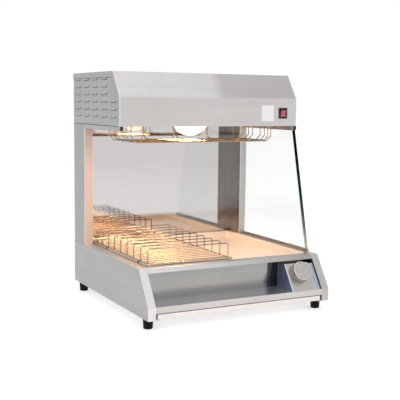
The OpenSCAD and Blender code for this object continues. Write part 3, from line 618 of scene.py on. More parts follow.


# Painted shade on the glass edge, darker as it rises, over the glass's own green tint.
EDGE_TONES = (
    (0.1, (158, 166, 166)), (0.2, (100, 113, 113)), (0.32, (54, 70, 72)), (0.46, (8, 52, 38)),
    (0.62, (0, 42, 8)), (0.8, (2, 4, 3)), (1.0, (2, 3, 3)),
)
FINISHES = {finish.name: finish for finish in (
    # Painted shade: the darker sheet tone for faces that look left or right.
    BrushedSteel("side_sheet", (174, 175, 174), (158, 159, 159), Run.ALONG_Y, rough=0.4),
    # Each post is one sheet in tones for how light falls on it: painted warm lamp light on the left front, a
    # lighter right front, darker outer sides and painted shade on the inner sides.
    BrushedSteel("post_sheet", (168, 169, 169), (152, 153, 153), Run.ALONG_Z, rough=0.4),
    BrushedSteel("post_painted_lamp_light", (226, 204, 188), (212, 190, 174), Run.ALONG_Z, rough=0.5, metal=0.4),
    BrushedSteel("post_front", (196, 193, 190), (180, 177, 174), Run.ALONG_Z, rough=0.36),
    BrushedSteel("post_inner", (146, 142, 139), (116, 112, 110), Run.ALONG_Z, rough=0.16),
    # The rail here and the slope below carry painted shade on their right parts.
    BrushedSteel("rail_sheet", (222, 221, 221), (208, 207, 207), rough=0.36, painted_shade_span=(-0.26, 0.3),
                 painted_shade_tone=(188, 185, 181)),
    # Painted light: the base flanges take lighter tones than the sides, the left flange more than the right.
    BrushedSteel("flange_left", (220, 219, 221), (208, 207, 209), Run.ALONG_Z, rough=0.36),
    BrushedSteel("flange_right", (192, 191, 187), (172, 169, 166), Run.ALONG_Z, rough=0.36),
    BrushedSteel("front_sheet", (206, 205, 205), (190, 189, 188), rough=0.36),
    BrushedSteel("strip_sheet", (226, 223, 221), (212, 209, 207), rough=0.36),
    BrushedSteel("panel_sheet", (186, 183, 178), (172, 169, 164), rough=0.34),
    # Painted reflection: the control box's sides take a bluish dark tone for what they reflect.
    BrushedSteel("box_side_sheet", (142, 156, 184), (112, 126, 152), Run.ALONG_Z, rough=0.3, metal=0.55),
    # Painted reflection: the pale lilac tone of the tab beside the control box.
    BrushedSteel("tab_painted_reflection", (190, 194, 212), (150, 154, 172), Run.ALONG_Z, rough=0.3, metal=0.6),
    BrushedSteel("hood_sheet", (203, 200, 199), (188, 185, 183), rough=0.4),
    BrushedSteel("slope_sheet", (202, 199, 199), (188, 185, 185), rough=0.4, painted_shade_span=(0.01, 0.05)),
    # Painted highlight: the rolled folds take a brighter, bluish tone than the sheets beside them.
    BrushedSteel("fold_painted_highlight", (236, 236, 246), (222, 222, 234), Run.ALONG_Z, rough=0.3),
    BrushedSteel("inner_sheet", (190, 188, 184), (172, 170, 168), rough=0.22, straw_and_glow=0.2),
    # The recess liner is one sheet: its back takes painted shade and its floor painted light.
    BrushedSteel("recess_back", (160, 159, 156), (140, 140, 141), rough=0.16, spread=0.05),
    BrushedSteel("recess_floor", (222, 221, 226), (200, 200, 206), rough=0.24, spread=0.05, metal=0.8),
    BrushedSteel("lip_sheet", (202, 199, 199), (186, 183, 183), rough=0.36),
    BrushedSteel("mirror_sheet", (202, 199, 198), (194, 191, 190), rough=0.03, spread=0.02, smudged=0.3),
    # The tray's pale warm tone is partly painted lamp light.
    BrushedSteel("tray_sheet", (236, 228, 220), (218, 209, 200), rough=0.45, smudged=1.0, metal=0.35),
    BrushedSteel("channel_metal", (170, 170, 170), (154, 154, 155), Run.ALONG_Y, rough=0.28),
    # Painted warm lamp light: the tan tones of the deck and guard wires; the hoops take a darker copy as
    # painted shade.
    BrightSteel("bright_wire", (206, 182, 156), 0.24),
    BrightSteel("hoop_wire", (156, 148, 141)),
    BrightSteel("guard_wire", (186, 160, 130), 0.14, straw_and_glow=0.2),
    BrightSteel("fastener_steel", (178, 178, 176), 0.28),
    BrightSteel("element_sheath", (96, 92, 90), 0.45),
    TurnedSteel("knob_metal", (196, 193, 188), tuple(DIAL_FOOT), SLOPE_ANGLE),
    MouldedPlastic("foot_rubber", (8, 13, 18), (26, 31, 36), 0.6, gloss=0.15),
    MouldedPlastic("black_plastic", (12, 13, 15), (34, 36, 40), 0.42),
    # Painted shadow: the dark lines along the seams of the hood and base.
    MouldedPlastic("painted_seam_shadow", (58, 64, 72), (84, 88, 94), 0.6),
    # Painted reflection: gloss black for the dark plate on the recess back.
    MouldedPlastic("gloss_black", (14, 18, 22), (26, 30, 36), 0.12, 90.0),
    MouldedPlastic("red_plastic", (196, 84, 92), (214, 120, 124), 0.22),
    MouldedPlastic("mark_white", (226, 222, 220), (206, 200, 198), 0.4),
    MouldedPlastic("blank_label", (252, 252, 255), (240, 240, 246), 0.4, 600.0),
    MouldedPlastic("terminal_plastic", (222, 216, 200), (200, 192, 174), 0.4),
    GlazedCeramic("ceramic", (226, 220, 206)),
    ClearGlass("clear_glass", (247, 249, 249)),
    GlassEdge("glass_edge", (196, 202, 202), EDGE_TONES, height(134), height(520)),
    GlowingGlass("lamp_glass", (255, 238, 218), (255, 222, 184), 1.25, height(487), height(530)),
)}


@functools.cache
def material(name: str) -> Material:
    """Returns the material of a finish, built when it is first asked for."""
    return FINISHES[name].build()


# Mesh helpers


def add_object(name: str, data: ID) -> Object:
    """Puts a new object with that mesh, lamp or camera into the scene and returns it."""
    made = bpy.data.objects.new(name, data)
    bpy.context.scene.collection.objects.link(made)
    return made


def mesh_piece(name: str, bm: BMesh, body: str, finishes: Sequence[str],
               replaced: Sequence[str] = (), sharp: float = 40.0, weighted: bool = False) -> None:
    """Turns a bmesh into a finished piece at the origin that rides on a body.

    Args:
        name: Name of the piece.
        bm: Its mesh, which is freed.
        body: The body that it rides on.
        finishes: Names of its finishes, in the order of the mesh's material numbers.
        replaced: CAD nodes that it stands for.
        sharp: Angle in degrees above which an edge stays sharp.
        weighted: Whether large faces keep flat normals.
    """
    for edge in bm.edges:
        edge.smooth = len(edge.link_faces) == 2 and edge.calc_face_angle(math.pi) < math.radians(sharp)
    for face in bm.faces:
        face.smooth = True
    mesh = bpy.data.meshes.new(name)
    bm.to_mesh(mesh)
    bm.free()
    if "custom_normal" in mesh.attributes:
        mesh.attributes.remove(mesh.attributes["custom_normal"])
    piece = add_object(name, mesh)
    for finish in finishes:
        mesh.materials.append(material(finish))
    if weighted:
        modifier = piece.modifiers.new("flat_faces", "WEIGHTED_NORMAL")
        modifier.keep_sharp = True
    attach(piece, body)
    if replaced:
        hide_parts(*replaced)
    log.info("piece %s rides on %s with %d faces", name, body, len(mesh.polygons))


def dress(finish: str, *nodes: str) -> None:
    """Gives CAD nodes one finish.

    Args:
        finish: Name of the finish.
        *nodes: Names of the CAD nodes.
    """
    for node in nodes:
        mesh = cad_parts[node].data
        mesh.materials.clear()
        mesh.materials.append(material(finish))
        log.info("node %s takes %s", node, finish)


def merged_copy(node: str) -> BMesh:
    """Copies a CAD node's mesh, merges its loose triangles and dissolves what lies flat.

    Args:
        node: Name of the CAD node.

    Returns:
        The merged mesh.
    """
    bm = bmesh.new()
    bm.from_mesh(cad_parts[node].data)
    bmesh.ops.remove_doubles(bm, verts=bm.verts, dist=2 * TINY)
    bmesh.ops.dissolve_limit(bm, angle_limit=math.radians(0.4), verts=bm.verts, edges=bm.edges)
    return bm


def room_beside(edge: BMEdge, face: BMFace) -> float:
    """Measures how far a face goes on beside one of its edges.

    Args:
        edge: The edge.
        face: The face.

    Returns:
        The least distance across the face to its other edges, from three places on the edge.
    """
    first, second = (vert.co for vert in edge.verts)
    along = (second - first).normalized()
    inwards = face.normal.cross(along)
    loop = next(loop for loop in face.loops if loop.edge == edge)
    if (loop.link_loop_next.vert.co - loop.vert.co).dot(along) < 0:
        inwards = -inwards
    least = math.inf
    for share in (0.08, 0.5, 0.92):
        start = first.lerp(second, share)
        for other in face.edges:
            if other == edge:
                continue
            ends = [vert.co - start for vert in other.verts]
            sides = [end.dot(along) for end in ends]
            if sides[0] * sides[1] > 0 or abs(sides[0] - sides[1]) < TINY * MM:
                continue
            part = sides[0] / (sides[0] - sides[1])
            depth = ends[0].lerp(ends[1], part).dot(inwards)
            if depth > TINY:
                least = min(least, depth)
    return least


def is_fold(edge: BMEdge) -> bool:
    """Tells whether an edge is the outer edge of a fold.

    Args:
        edge: The edge.

    Returns:
        Whether it is a long convex edge between two faces wider than the sheet is thick.
    """
    if len(edge.link_faces) != 2 or not edge.is_convex or edge.calc_length() < SHORTEST_FOLD:
        return False
    if edge.calc_face_angle(0.0) < FLATTEST_FOLD:
        return False
    return min(room_beside(edge, face) for face in edge.link_faces) > SHEET_EDGE


def round_edges(bm: BMesh, edges: Iterable[BMEdge], radius: float, segments: int = 2,
                clamp: bool = True) -> None:
    """Rounds edges of a mesh, or cuts them flat where there is one segment.

    Args:
        bm: The mesh.
        edges: The edges.
        radius: Radius in metres.
        segments: Number of faces across each edge.
        clamp: Whether the radius shrinks where there is no room.
    """
    bmesh.ops.bevel(bm, geom=edges, offset=radius, offset_type="OFFSET", segments=segments, profile=0.5,
                    affect="EDGES", clamp_overlap=clamp, material=-1)


def rolled_sheet(name: str, node: str, finishes: Sequence[str], radius: float = 0.0012,
                 pick: Callable[[BMFace], int] | None = None, body: str = "cabinet") -> None:
    """Makes a sheet part with rolled folds from the merged copy of its CAD node.

    Args:
        name: Name of the piece.
        node: The CAD node that it replaces.
        finishes: Names of its finishes.
        radius: Radius of the folds in metres.
        pick: Gives the number of a face's finish, where there is more than one.
        body: The body that it rides on.
    """
    bm = merged_copy(node)
    round_edges(bm, [edge for edge in bm.edges if is_fold(edge)], radius, segments=3, clamp=False)
    for face in bm.faces:
        face.material_index = pick(face) if pick else 0
    mesh_piece(name, bm, body, finishes, [node], sharp=33.0, weighted=True)


def looks_across(face: BMFace) -> int:
    """Returns 1 for a face that looks to the left or right, which takes painted shade, and 0 for any other."""
    return int(abs(face.normal.x) > 0.6)


class WireForm:
    """A round wire that is drawn straight on and bent, section by section."""

    def __init__(self, start: Vector, heading: Vector, diameter: float, sides: int = 10) -> None:
        """Starts a wire with a capped end.

        Args:
            start: Middle of the first end.
            heading: Direction of the wire there.
            diameter: Thickness of the wire in millimetres.
            sides: Number of faces around it.
        """
        self.bm = bmesh.new()
        self.radius = diameter * MM / 2
        self.at = start.copy()
        self.heading = heading.normalized()
        turn = self.heading.to_track_quat("Z", "Y").to_matrix().to_4x4()
        bmesh.ops.create_circle(self.bm, cap_ends=True, radius=self.radius, segments=sides,
                                matrix=Matrix.Translation(start) @ turn)
        bmesh.ops.reverse_faces(self.bm, faces=self.bm.faces[:])
        self.rim = list(self.bm.edges)

    def extend(self) -> list[BMVert]:
        """Extrudes the open rim in its place and returns the new rim's points."""
        made = bmesh.ops.extrude_edge_only(self.bm, edges=self.rim)["geom"]
        points = [part for part in made if isinstance(part, BMVert)]
        new = set(points)
        self.rim = [part for part in made if isinstance(part, BMEdge) and set(part.verts) <= new]
        return points

    def forward(self, length: float) -> "WireForm":
        """Draws the wire straight on.

        Args:
            length: Length of the run in millimetres.

        Returns:
            The wire form itself.
        """
        step = self.heading * length * MM
        bmesh.ops.translate(self.bm, verts=self.extend(), vec=step)
        self.at += step
        return self

    def bend(self, towards: Vector, radius: float, angle: float = QUARTER, steps: int = 5) -> "WireForm":
        """Bends the wire.

        Args:
            towards: Direction to the inside of the bend.
            radius: Radius of the bend's middle line in millimetres.
            angle: Angle of the bend.
            steps: Number of sections.

        Returns:
            The wire form itself.
        """
        centre = self.at + towards.normalized() * radius * MM
        axis = self.heading.cross(towards).normalized()
        turned = Matrix.Rotation(angle / steps, 4, axis)
        for _ in range(steps):
            bmesh.ops.rotate(self.bm, verts=self.extend(), cent=centre, matrix=turned)
        whole = Matrix.Rotation(angle, 3, axis)
        self.at = centre + whole @ (self.at - centre)
        self.heading = (whole @ self.heading).normalized()
        return self

    def finish(self, closed: bool = False) -> BMesh:
        """Caps the last end, or joins it to the first where the wire is a ring.

        Args:
            closed: Whether the wire is a ring.

        Returns:
            The wire's mesh.
        """
        if closed:
            caps = [face for face in self.bm.faces if len(face.verts) > 4]
            bmesh.ops.delete(self.bm, geom=caps, context="FACES_ONLY")
            bmesh.ops.remove_doubles(self.bm, verts=self.bm.verts, dist=self.radius * 0.2)
        else:
            bmesh.ops.edgeloop_fill(self.bm, edges=self.rim)
        bmesh.ops.recalc_face_normals(self.bm, faces=self.bm.faces)
        return self.bm


def gather(parts: Iterable[BMesh]) -> BMesh:
    """Joins several meshes into one and frees them.

    Args:
        parts: The meshes.

    Returns:
        The joined mesh.
    """
    whole = bmesh.new()
    for part in parts:
        held = bpy.data.meshes.new("held")
        part.to_mesh(held)
        part.free()
        whole.from_mesh(held)
        bpy.data.meshes.remove(held)
    return whole


def moved(bm: BMesh, matrix: Matrix) -> BMesh:
    """Moves a mesh by a matrix and returns it."""
    bmesh.ops.transform(bm, matrix=matrix, verts=bm.verts)
    return bm


def spun(profile: Sequence[tuple[float, float]], steps: int, placed: Matrix, closed: bool = True) -> BMesh:
    """Spins a profile of radius and height about Z.

    Args:
        profile: Radius and height of each point in millimetres, from the bottom of the axis to the top.
        steps: Number of steps round the full turn.
        placed: Where the spun shape goes.
        closed: Whether the profile starts and ends on the axis.

    Returns:
        The spun mesh, with its normals pointing outwards.
    """
    bm = bmesh.new()
    points = [bm.verts.new((radius * MM, 0.0, rise * MM)) for radius, rise in profile]
    edges = [bm.edges.new(pair) for pair in zip(points, points[1:])]
    if not closed:
        edges.append(bm.edges.new((points[-1], points[0])))
    bmesh.ops.spin(bm, geom=points + edges, cent=(0, 0, 0), axis=(0, 0, 1), angle=FULL_TURN, steps=steps,
                   use_merge=True)
    bmesh.ops.remove_doubles(bm, verts=bm.verts, dist=TINY)
    bmesh.ops.recalc_face_normals(bm, faces=bm.faces)
    return moved(bm, placed)


def slab(low: Vector, high: Vector, rounding: float = 0.0) -> BMesh:
    """Makes a block between two corners, with all its edges rounded where a radius is given.

    Args:
        low: Lowest corner.
        high: Highest corner.
        rounding: Radius of the edges in metres.

    Returns:
        The block's mesh.
    """
    bm = bmesh.new()
    size = Matrix.Diagonal((*(high - low), 1.0))
    bmesh.ops.create_cube(bm, size=1.0, matrix=Matrix.Translation((low + high) / 2) @ size)
    if rounding:
        round_edges(bm, bm.edges, rounding)
    return bm


def plate(outline: Iterable[tuple[float, float]], left: float, right: float) -> BMesh:
    """Makes an upright plate that faces left and right.

    Args:
        outline: Depth and height of its corners in cabinet millimetres.
        left: Place of its left face.
        right: Place of its right face.

    Returns:
        The plate's mesh.
    """
    bm = bmesh.new()
    face = bm.faces.new([bm.verts.new(place(left, y, z)) for y, z in outline])
    made = bmesh.ops.extrude_face_region(bm, geom=[face])["geom"]
    points = [part for part in made if isinstance(part, BMVert)]
    bmesh.ops.translate(bm, verts=points, vec=Vector(((right - left) * MM, 0, 0)))
    bmesh.ops.recalc_face_normals(bm, faces=bm.faces)
    return bm


def edges_along(bm: BMesh, axis: int, least: float) -> list[BMEdge]:
    """Returns the edges whose ends lie further apart than a least distance on one axis."""
    return [edge for edge in bm.edges if abs((edge.verts[0].co - edge.verts[1].co)[axis]) > least]


# Sub-assemblies


@dataclass
class Base:
    """Folded base: sides, front rail, recess, bottom pan, rear sheet and feet.

    Attributes:
        foot_sides: Distances of the feet's middles from the left side.
        foot_depths: Distances of the feet's middles from the front.
        foot_height: Height of the feet.
        lip_depth: Depth that parts the recess's lip from its back.
    """

    foot_sides: tuple[float, float] = (19.5, 580.5)
    foot_depths: tuple[float, float] = (42, 560)
    foot_height: float = 30
    lip_depth: float = 40

    def build(self) -> None:
        """Builds and dresses the base."""
        # Each base side is one sheet, its flange in a painted-light tone and its side in the painted-shade
        # tone.
        for side in ("left", "right"):
            rolled_sheet(f"side_cheek_{side}", f"base_side_{side}", [f"flange_{side}", "side_sheet"],
                         pick=looks_across)
        rolled_sheet("top_rail", "front_rail", ["rail_sheet"])
        rolled_sheet("storage_recess", "recess_liner", ["lip_sheet", "recess_back", "recess_floor"],
                     pick=self.recess_face)
        rolled_sheet("underside_pan", "bottom_pan", ["strip_sheet"])
        dress("front_sheet", "base_rear_panel", "rear_deck")
        self.feet()

    def recess_face(self, face: BMFace) -> int:
        """Tells the recess's lip, back and floor apart.

        Args:
            face: One face of the liner.

        Returns:
            0 for the lip, 1 for the back, which takes painted shade, and 2 for the floor, which takes painted
            light.
        """
        if abs(face.normal.z) > 0.6:
            return 2
        return int(face.calc_center_median().y > place(0, self.lip_depth, 0).y)

    def feet(self) -> None:
        """Spins the four rubber feet with a rounded tip and a screw recess."""
        top = self.foot_height
        profile = [(0.0, 6.0), (4.2, 6.0), (4.2, 0.6), (5.0, 0.0), (11.6, 0.0), (12.6, 0.5), (13.1, 1.6),
                   (14.9, top - 4), (15.0, top - 3), (15.0, top), (0.0, top)]
        parts = [spun(profile, 40, Matrix.Translation(place(x, y, -top)))
                 for x in self.foot_sides for y in self.foot_depths]
        mesh_piece("rubber_feet", gather(parts), "cabinet", ["foot_rubber"], ["feet"], 35.0)


@dataclass
class TrayAndRack:
    """Lift-out tray and the wire rack that stands in it.

    Attributes:
        rod_x: The frame rod's distance from the left side.
        front: The frame rod's front depth.
        rear: Its rear depth.
        end_x: The rod's right ends.
        rod_z: Height of the rod's middle.
        corner: Bend radius of the rod.
        leg_x: Left and right leg carriers.
        first_wire: Depth of the first deck wire.
        wire_pitch: Distance between deck wires.
        wires: Number of deck wires.
        first_hoop: Depth of the first hoop.
        hoop_pitch: Distance between hoops.
        hoops: Number of hoops.
        hoop_bend: Bend radius of the hoops.
        foot_rise: Height of the hoops' feet over the rod's middle.
        top_z: Height of the hoops' middle line.
        clip_depths: Depths of the clips on the left rod.
    """

    rod_x: float = 33.5
    front: float = 85.5
    rear: float = 562.5
    end_x: float = 307.5
    rod_z: float = 138.5
    corner: float = 12
    leg_x: tuple[float, float] = (43.5, 303.5)
    first_wire: float = 112.5
    wire_pitch: float = 25
    wires: int = 18
    first_hoop: float = 100
    hoop_pitch: float = 50
    hoops: int = 9
    hoop_bend: float = 7
    foot_rise: float = 1.6
    top_z: float = 180.5
    clip_depths: tuple[float, float] = (130, 376)

    def build(self) -> None:
        """Builds and dresses the tray and the rack."""
        rolled_sheet("tray_pan", "chip_tray", ["tray_sheet"], 0.001, body="tray")
        dress("inner_sheet", "heat_pan")
        dress("element_sheath", "heating_element")
        dress("fastener_steel", "element_saddles")
        mesh_piece("rack_deck", self.deck(), "rack", ["bright_wire"], ["rack_frame"], 50.0)
        mesh_piece("rack_loops", self.loops(), "rack", ["hoop_wire"], ["rack_hoops"], 50.0)
        mesh_piece("rack_rod_clips", self.clips(), "rack", ["black_plastic"])

    def deck(self) -> BMesh:
        """Bends the frame rod and lays the carriers and deck wires on it.

        Returns:
            The deck's mesh.
        """
        r, side = self.corner, self.end_x - self.rod_x - self.corner
        rod = WireForm(place(self.end_x, self.front, self.rod_z), -ACROSS, 8, 16)
        rod.forward(side).bend(BACK, r).forward(self.rear - self.front - 2 * r).bend(ACROSS, r).forward(side)
        parts = [rod.finish()]
        for x in self.leg_x:
            carrier = WireForm(place(x, self.front, self.rod_z), BACK, 4, 12)
            parts.append(carrier.forward(self.rear - self.front).finish())
        for i in range(self.wires):
            wire = WireForm(place(self.rod_x, self.first_wire + i * self.wire_pitch, self.rod_z), ACROSS, 3)
            parts.append(wire.forward(self.leg_x[1] + 3 - self.rod_x).finish())
        return gather(parts)

    def loops(self) -> BMesh:
        """Bends the hoops that stand across the deck.

        Returns:
            The hoops' mesh.
        """
        r, foot, parts = self.hoop_bend, self.rod_z + self.foot_rise, []
        rise = self.top_z - r - foot
        for i in range(self.hoops):
            hoop = WireForm(place(self.leg_x[0], self.first_hoop + i * self.hoop_pitch, foot), UP, 3.2)
            hoop.forward(rise).bend(ACROSS, r).forward(self.leg_x[1] - self.leg_x[0] - 2 * r)
            parts.append(hoop.bend(-UP, r).forward(rise).finish())
        return gather(parts)

    def clips(self) -> BMesh:
        """Makes the two dark clips on the left rod.

        Returns:
            The clips' mesh.
        """
        along = Matrix.Rotation(-QUARTER, 4, "X")
        profile = [(4.02, 0.0), (4.9, 0.4), (4.9, 8.6), (4.02, 9.0)]
        places = [Matrix.Translation(place(self.rod_x, y, self.rod_z)) @ along for y in self.clip_depths]
        return gather(spun(profile, 24, placed, closed=False) for placed in places)


@dataclass
class Walls:
    """Posts, mirror wall, rear wall, glass channels and the side glass.

    Attributes:
        glass_x: Left and right face of the glass.
        outline: Depth and height of the glass's corners.
        chamfer: Width of the chamfer round its edges in metres.
        bevel: Depth and width of the ground bevel along its front edge.
        land: Flat that the bevel leaves at the front.
        bumper_at: Middle of the bumper's foot on the wall.
    """

    glass_x: tuple[float, float] = (593.4, 598.4)
    outline: tuple[tuple[float, float], ...] = ((110, 134.5), (202, 519.3), (494.8, 519.3), (494.8, 134.5))
    chamfer: float = 0.0006
    bevel: tuple[float, float] = (4.6, 9.4)
    land: float = 0.4
    bumper_at: tuple[float, float, float] = (567, 575, 141)

    def build(self) -> None:
        """Builds and dresses the walls."""
        # The left post's front takes painted warm lamp light, and the right post's front a lighter
        # painted-light tone.
        for side, front, inwards in (("left", "post_painted_lamp_light", 1), ("right", "post_front", -1)):
            rolled_sheet(f"upright_{side}", f"post_{side}", [front, "post_sheet", "post_inner", "fold_painted_highlight"],
                         pick=functools.partial(self.post_face, inwards=inwards))
        dress("mirror_sheet", "mirror_wall")
        dress("front_sheet", "rear_wall")
        dress("channel_metal", "glass_channel_left", "glass_channel_right", "glass_foot_channel")
        dress("black_plastic", "channel_plugs")
        self.pane()
        self.bumper()

    def post_face(self, face: BMFace, inwards: int) -> int:
        """Tells the faces of a post apart.

        Args:
            face: One face of the post.
            inwards: 1 where the cabinet's inside lies to the right of the post, and -1 to the left.

        Returns:
            0 for the front, 2 for the inner side, which takes painted shade, 3 for the rolled folds, which
            take a painted highlight, and 1 for the rest.
        """
        if face.normal.y < -0.15 and abs(face.normal.x) > 0.15:
            return 3
        if face.normal.y < -0.6:
            return 0
        return 2 if face.normal.x * inwards > 0.6 else 1

    def pane(self) -> None:
        """Cuts the side glass, with a ground bevel inside its front edge and edges of their own finish."""
        bm = plate(self.outline, *self.glass_x)
        across = set(edges_along(bm, 0, TINY))
        round_edges(bm, [edge for edge in bm.edges if edge not in across], self.chamfer, segments=1)
        foot, head = (place(self.glass_x[1] - self.land, y, z) for y, z in self.outline[:2])
        along = (head - foot).normalized()
        deep, wide = self.bevel
        slant = along.cross(ACROSS) * wide - ACROSS * deep
        bmesh.ops.bisect_plane(bm, geom=bm.verts[:] + bm.edges[:] + bm.faces[:], plane_co=foot,
                               plane_no=along.cross(slant).normalized(), clear_outer=True)
        bmesh.ops.holes_fill(bm, edges=[edge for edge in bm.edges if edge.is_boundary])
        bmesh.ops.recalc_face_normals(bm, faces=bm.faces)
        for face in bm.faces:
            face.material_index = 0 if abs(face.normal.x) > 0.99 else 1
        mesh_piece("glass_pane", bm, "cabinet", ["clear_glass", "glass_edge"],
                   ["side_glass"], 20.0)

    def bumper(self) -> None:
        """Makes the small black bumper in the corner of the wall and the right post."""
        profile = [(0.0, 0.0), (3.2, 0.0), (3.2, 2.2), (2.4, 3.0), (0.0, 3.2)]
        bm = spun(profile, 24, Matrix.Translation(place(*self.bumper_at)) @ Matrix.Rotation(QUARTER, 4, "X"))
        mesh_piece("wall_bumper", bm, "cabinet", ["black_plastic"])


@dataclass
class Hood:
    """Hood with louvred sides, bent front, top cover, rear sheet and ceiling.

    Attributes:
        front_y: Depth of the hood front.
        label_low: Lowest corner of the blank label on the front, as width and height.
        label_high: Its highest corner.
        sides: Place of the left and right side.
        seams: Depths and heights of the straight beads, under the hood, by the wrap, under the cover and
            on the base.
        slope: Depth and height of the ends of the bead along the wrap's sloped edge.
        bead: How far a bead stands out of the side, goes into it, and is wide on the slope.
    """

    front_y: float = 199
    label_low: tuple[float, float] = (473, 536)
    label_high: tuple[float, float] = (516.5, 585)
    sides: tuple[float, float] = (0, 600)
    seams: tuple[tuple[float, ...], ...] = ((199.3, 594.8, 519.9, 522.0), (215.0, 217.4, 522.0, 597.5),
                                            (262.5, 594.8, 661.6, 663.0), (495.2, 594.8, 132.6, 133.4))
    slope: tuple[tuple[float, float], ...] = ((215.0, 597.0), (262.0, 663.0))
    bead: tuple[float, float, float] = (0.3, 0.2, 2.0)

    def build(self) -> None:
        """Builds and dresses the hood."""
        # The hood's sides and the side faces of its front and cover take the darker tone as painted shade.
        for side in ("left", "right"):
            rolled_sheet(f"hood_cheek_{side}", f"hood_side_{side}", ["side_sheet"], 0.0006)
        rolled_sheet("bent_front", "hood_fascia", ["hood_sheet", "side_sheet", "slope_sheet", "fold_painted_highlight"],
                     0.002, pick=self.fascia_face)
        rolled_sheet("top_cover", "hood_top", ["hood_sheet", "side_sheet"], pick=looks_across)
        dress("front_sheet", "hood_rear")
        dress("inner_sheet", "hood_ceiling")
        self.label()
        self.beads()

    def fascia_face(self, face: BMFace) -> int:
        """Tells the parts of the bent front apart.

        Args:
            face: One face of the fascia.

        Returns:
            0 for the upright front, 1 for the wraps, which take painted shade, 2 for the slope and 3 for the
            rolled upright folds, which take a painted highlight.
        """
        aside = abs(face.normal.x)
        if aside > 0.9:
            return 1
        if aside > 0.15:
            return 3
        return 2 if face.normal.z > 0.45 else 0

    def label(self) -> None:
        """Makes the blank label plate on the hood front."""
        (x0, z0), (x1, z1) = self.label_low, self.label_high
        bm = slab(place(x0, self.front_y - 0.45, z0), place(x1, self.front_y - 0.02, z1))
        round_edges(bm, edges_along(bm, 1, 10 * TINY), 0.0018, segments=4)
        mesh_piece("blank_label_plate", bm, "cabinet", ["blank_label"])

    def beads(self) -> None:
        """Lays dark beads along the seams of both sides, as painted shadow lines."""
        proud, inside, width = self.bead
        low, high = self.slope
        sloped = (low, high, (high[0] + width, high[1]), (low[0] + width, low[1]))
        parts = []
        for side, outwards in zip(self.sides, (-1, 1)):
            x0, x1 = sorted((side + outwards * proud, side - outwards * inside))
            for y0, y1, z0, z1 in self.seams:
                parts.append(slab(place(x0, y0, z0), place(x1, y1, z1), 0.0002))
            parts.append(plate(sloped, x0, x1))
        mesh_piece("painted_seam_shadows", gather(parts), "cabinet", ["painted_seam_shadow"])


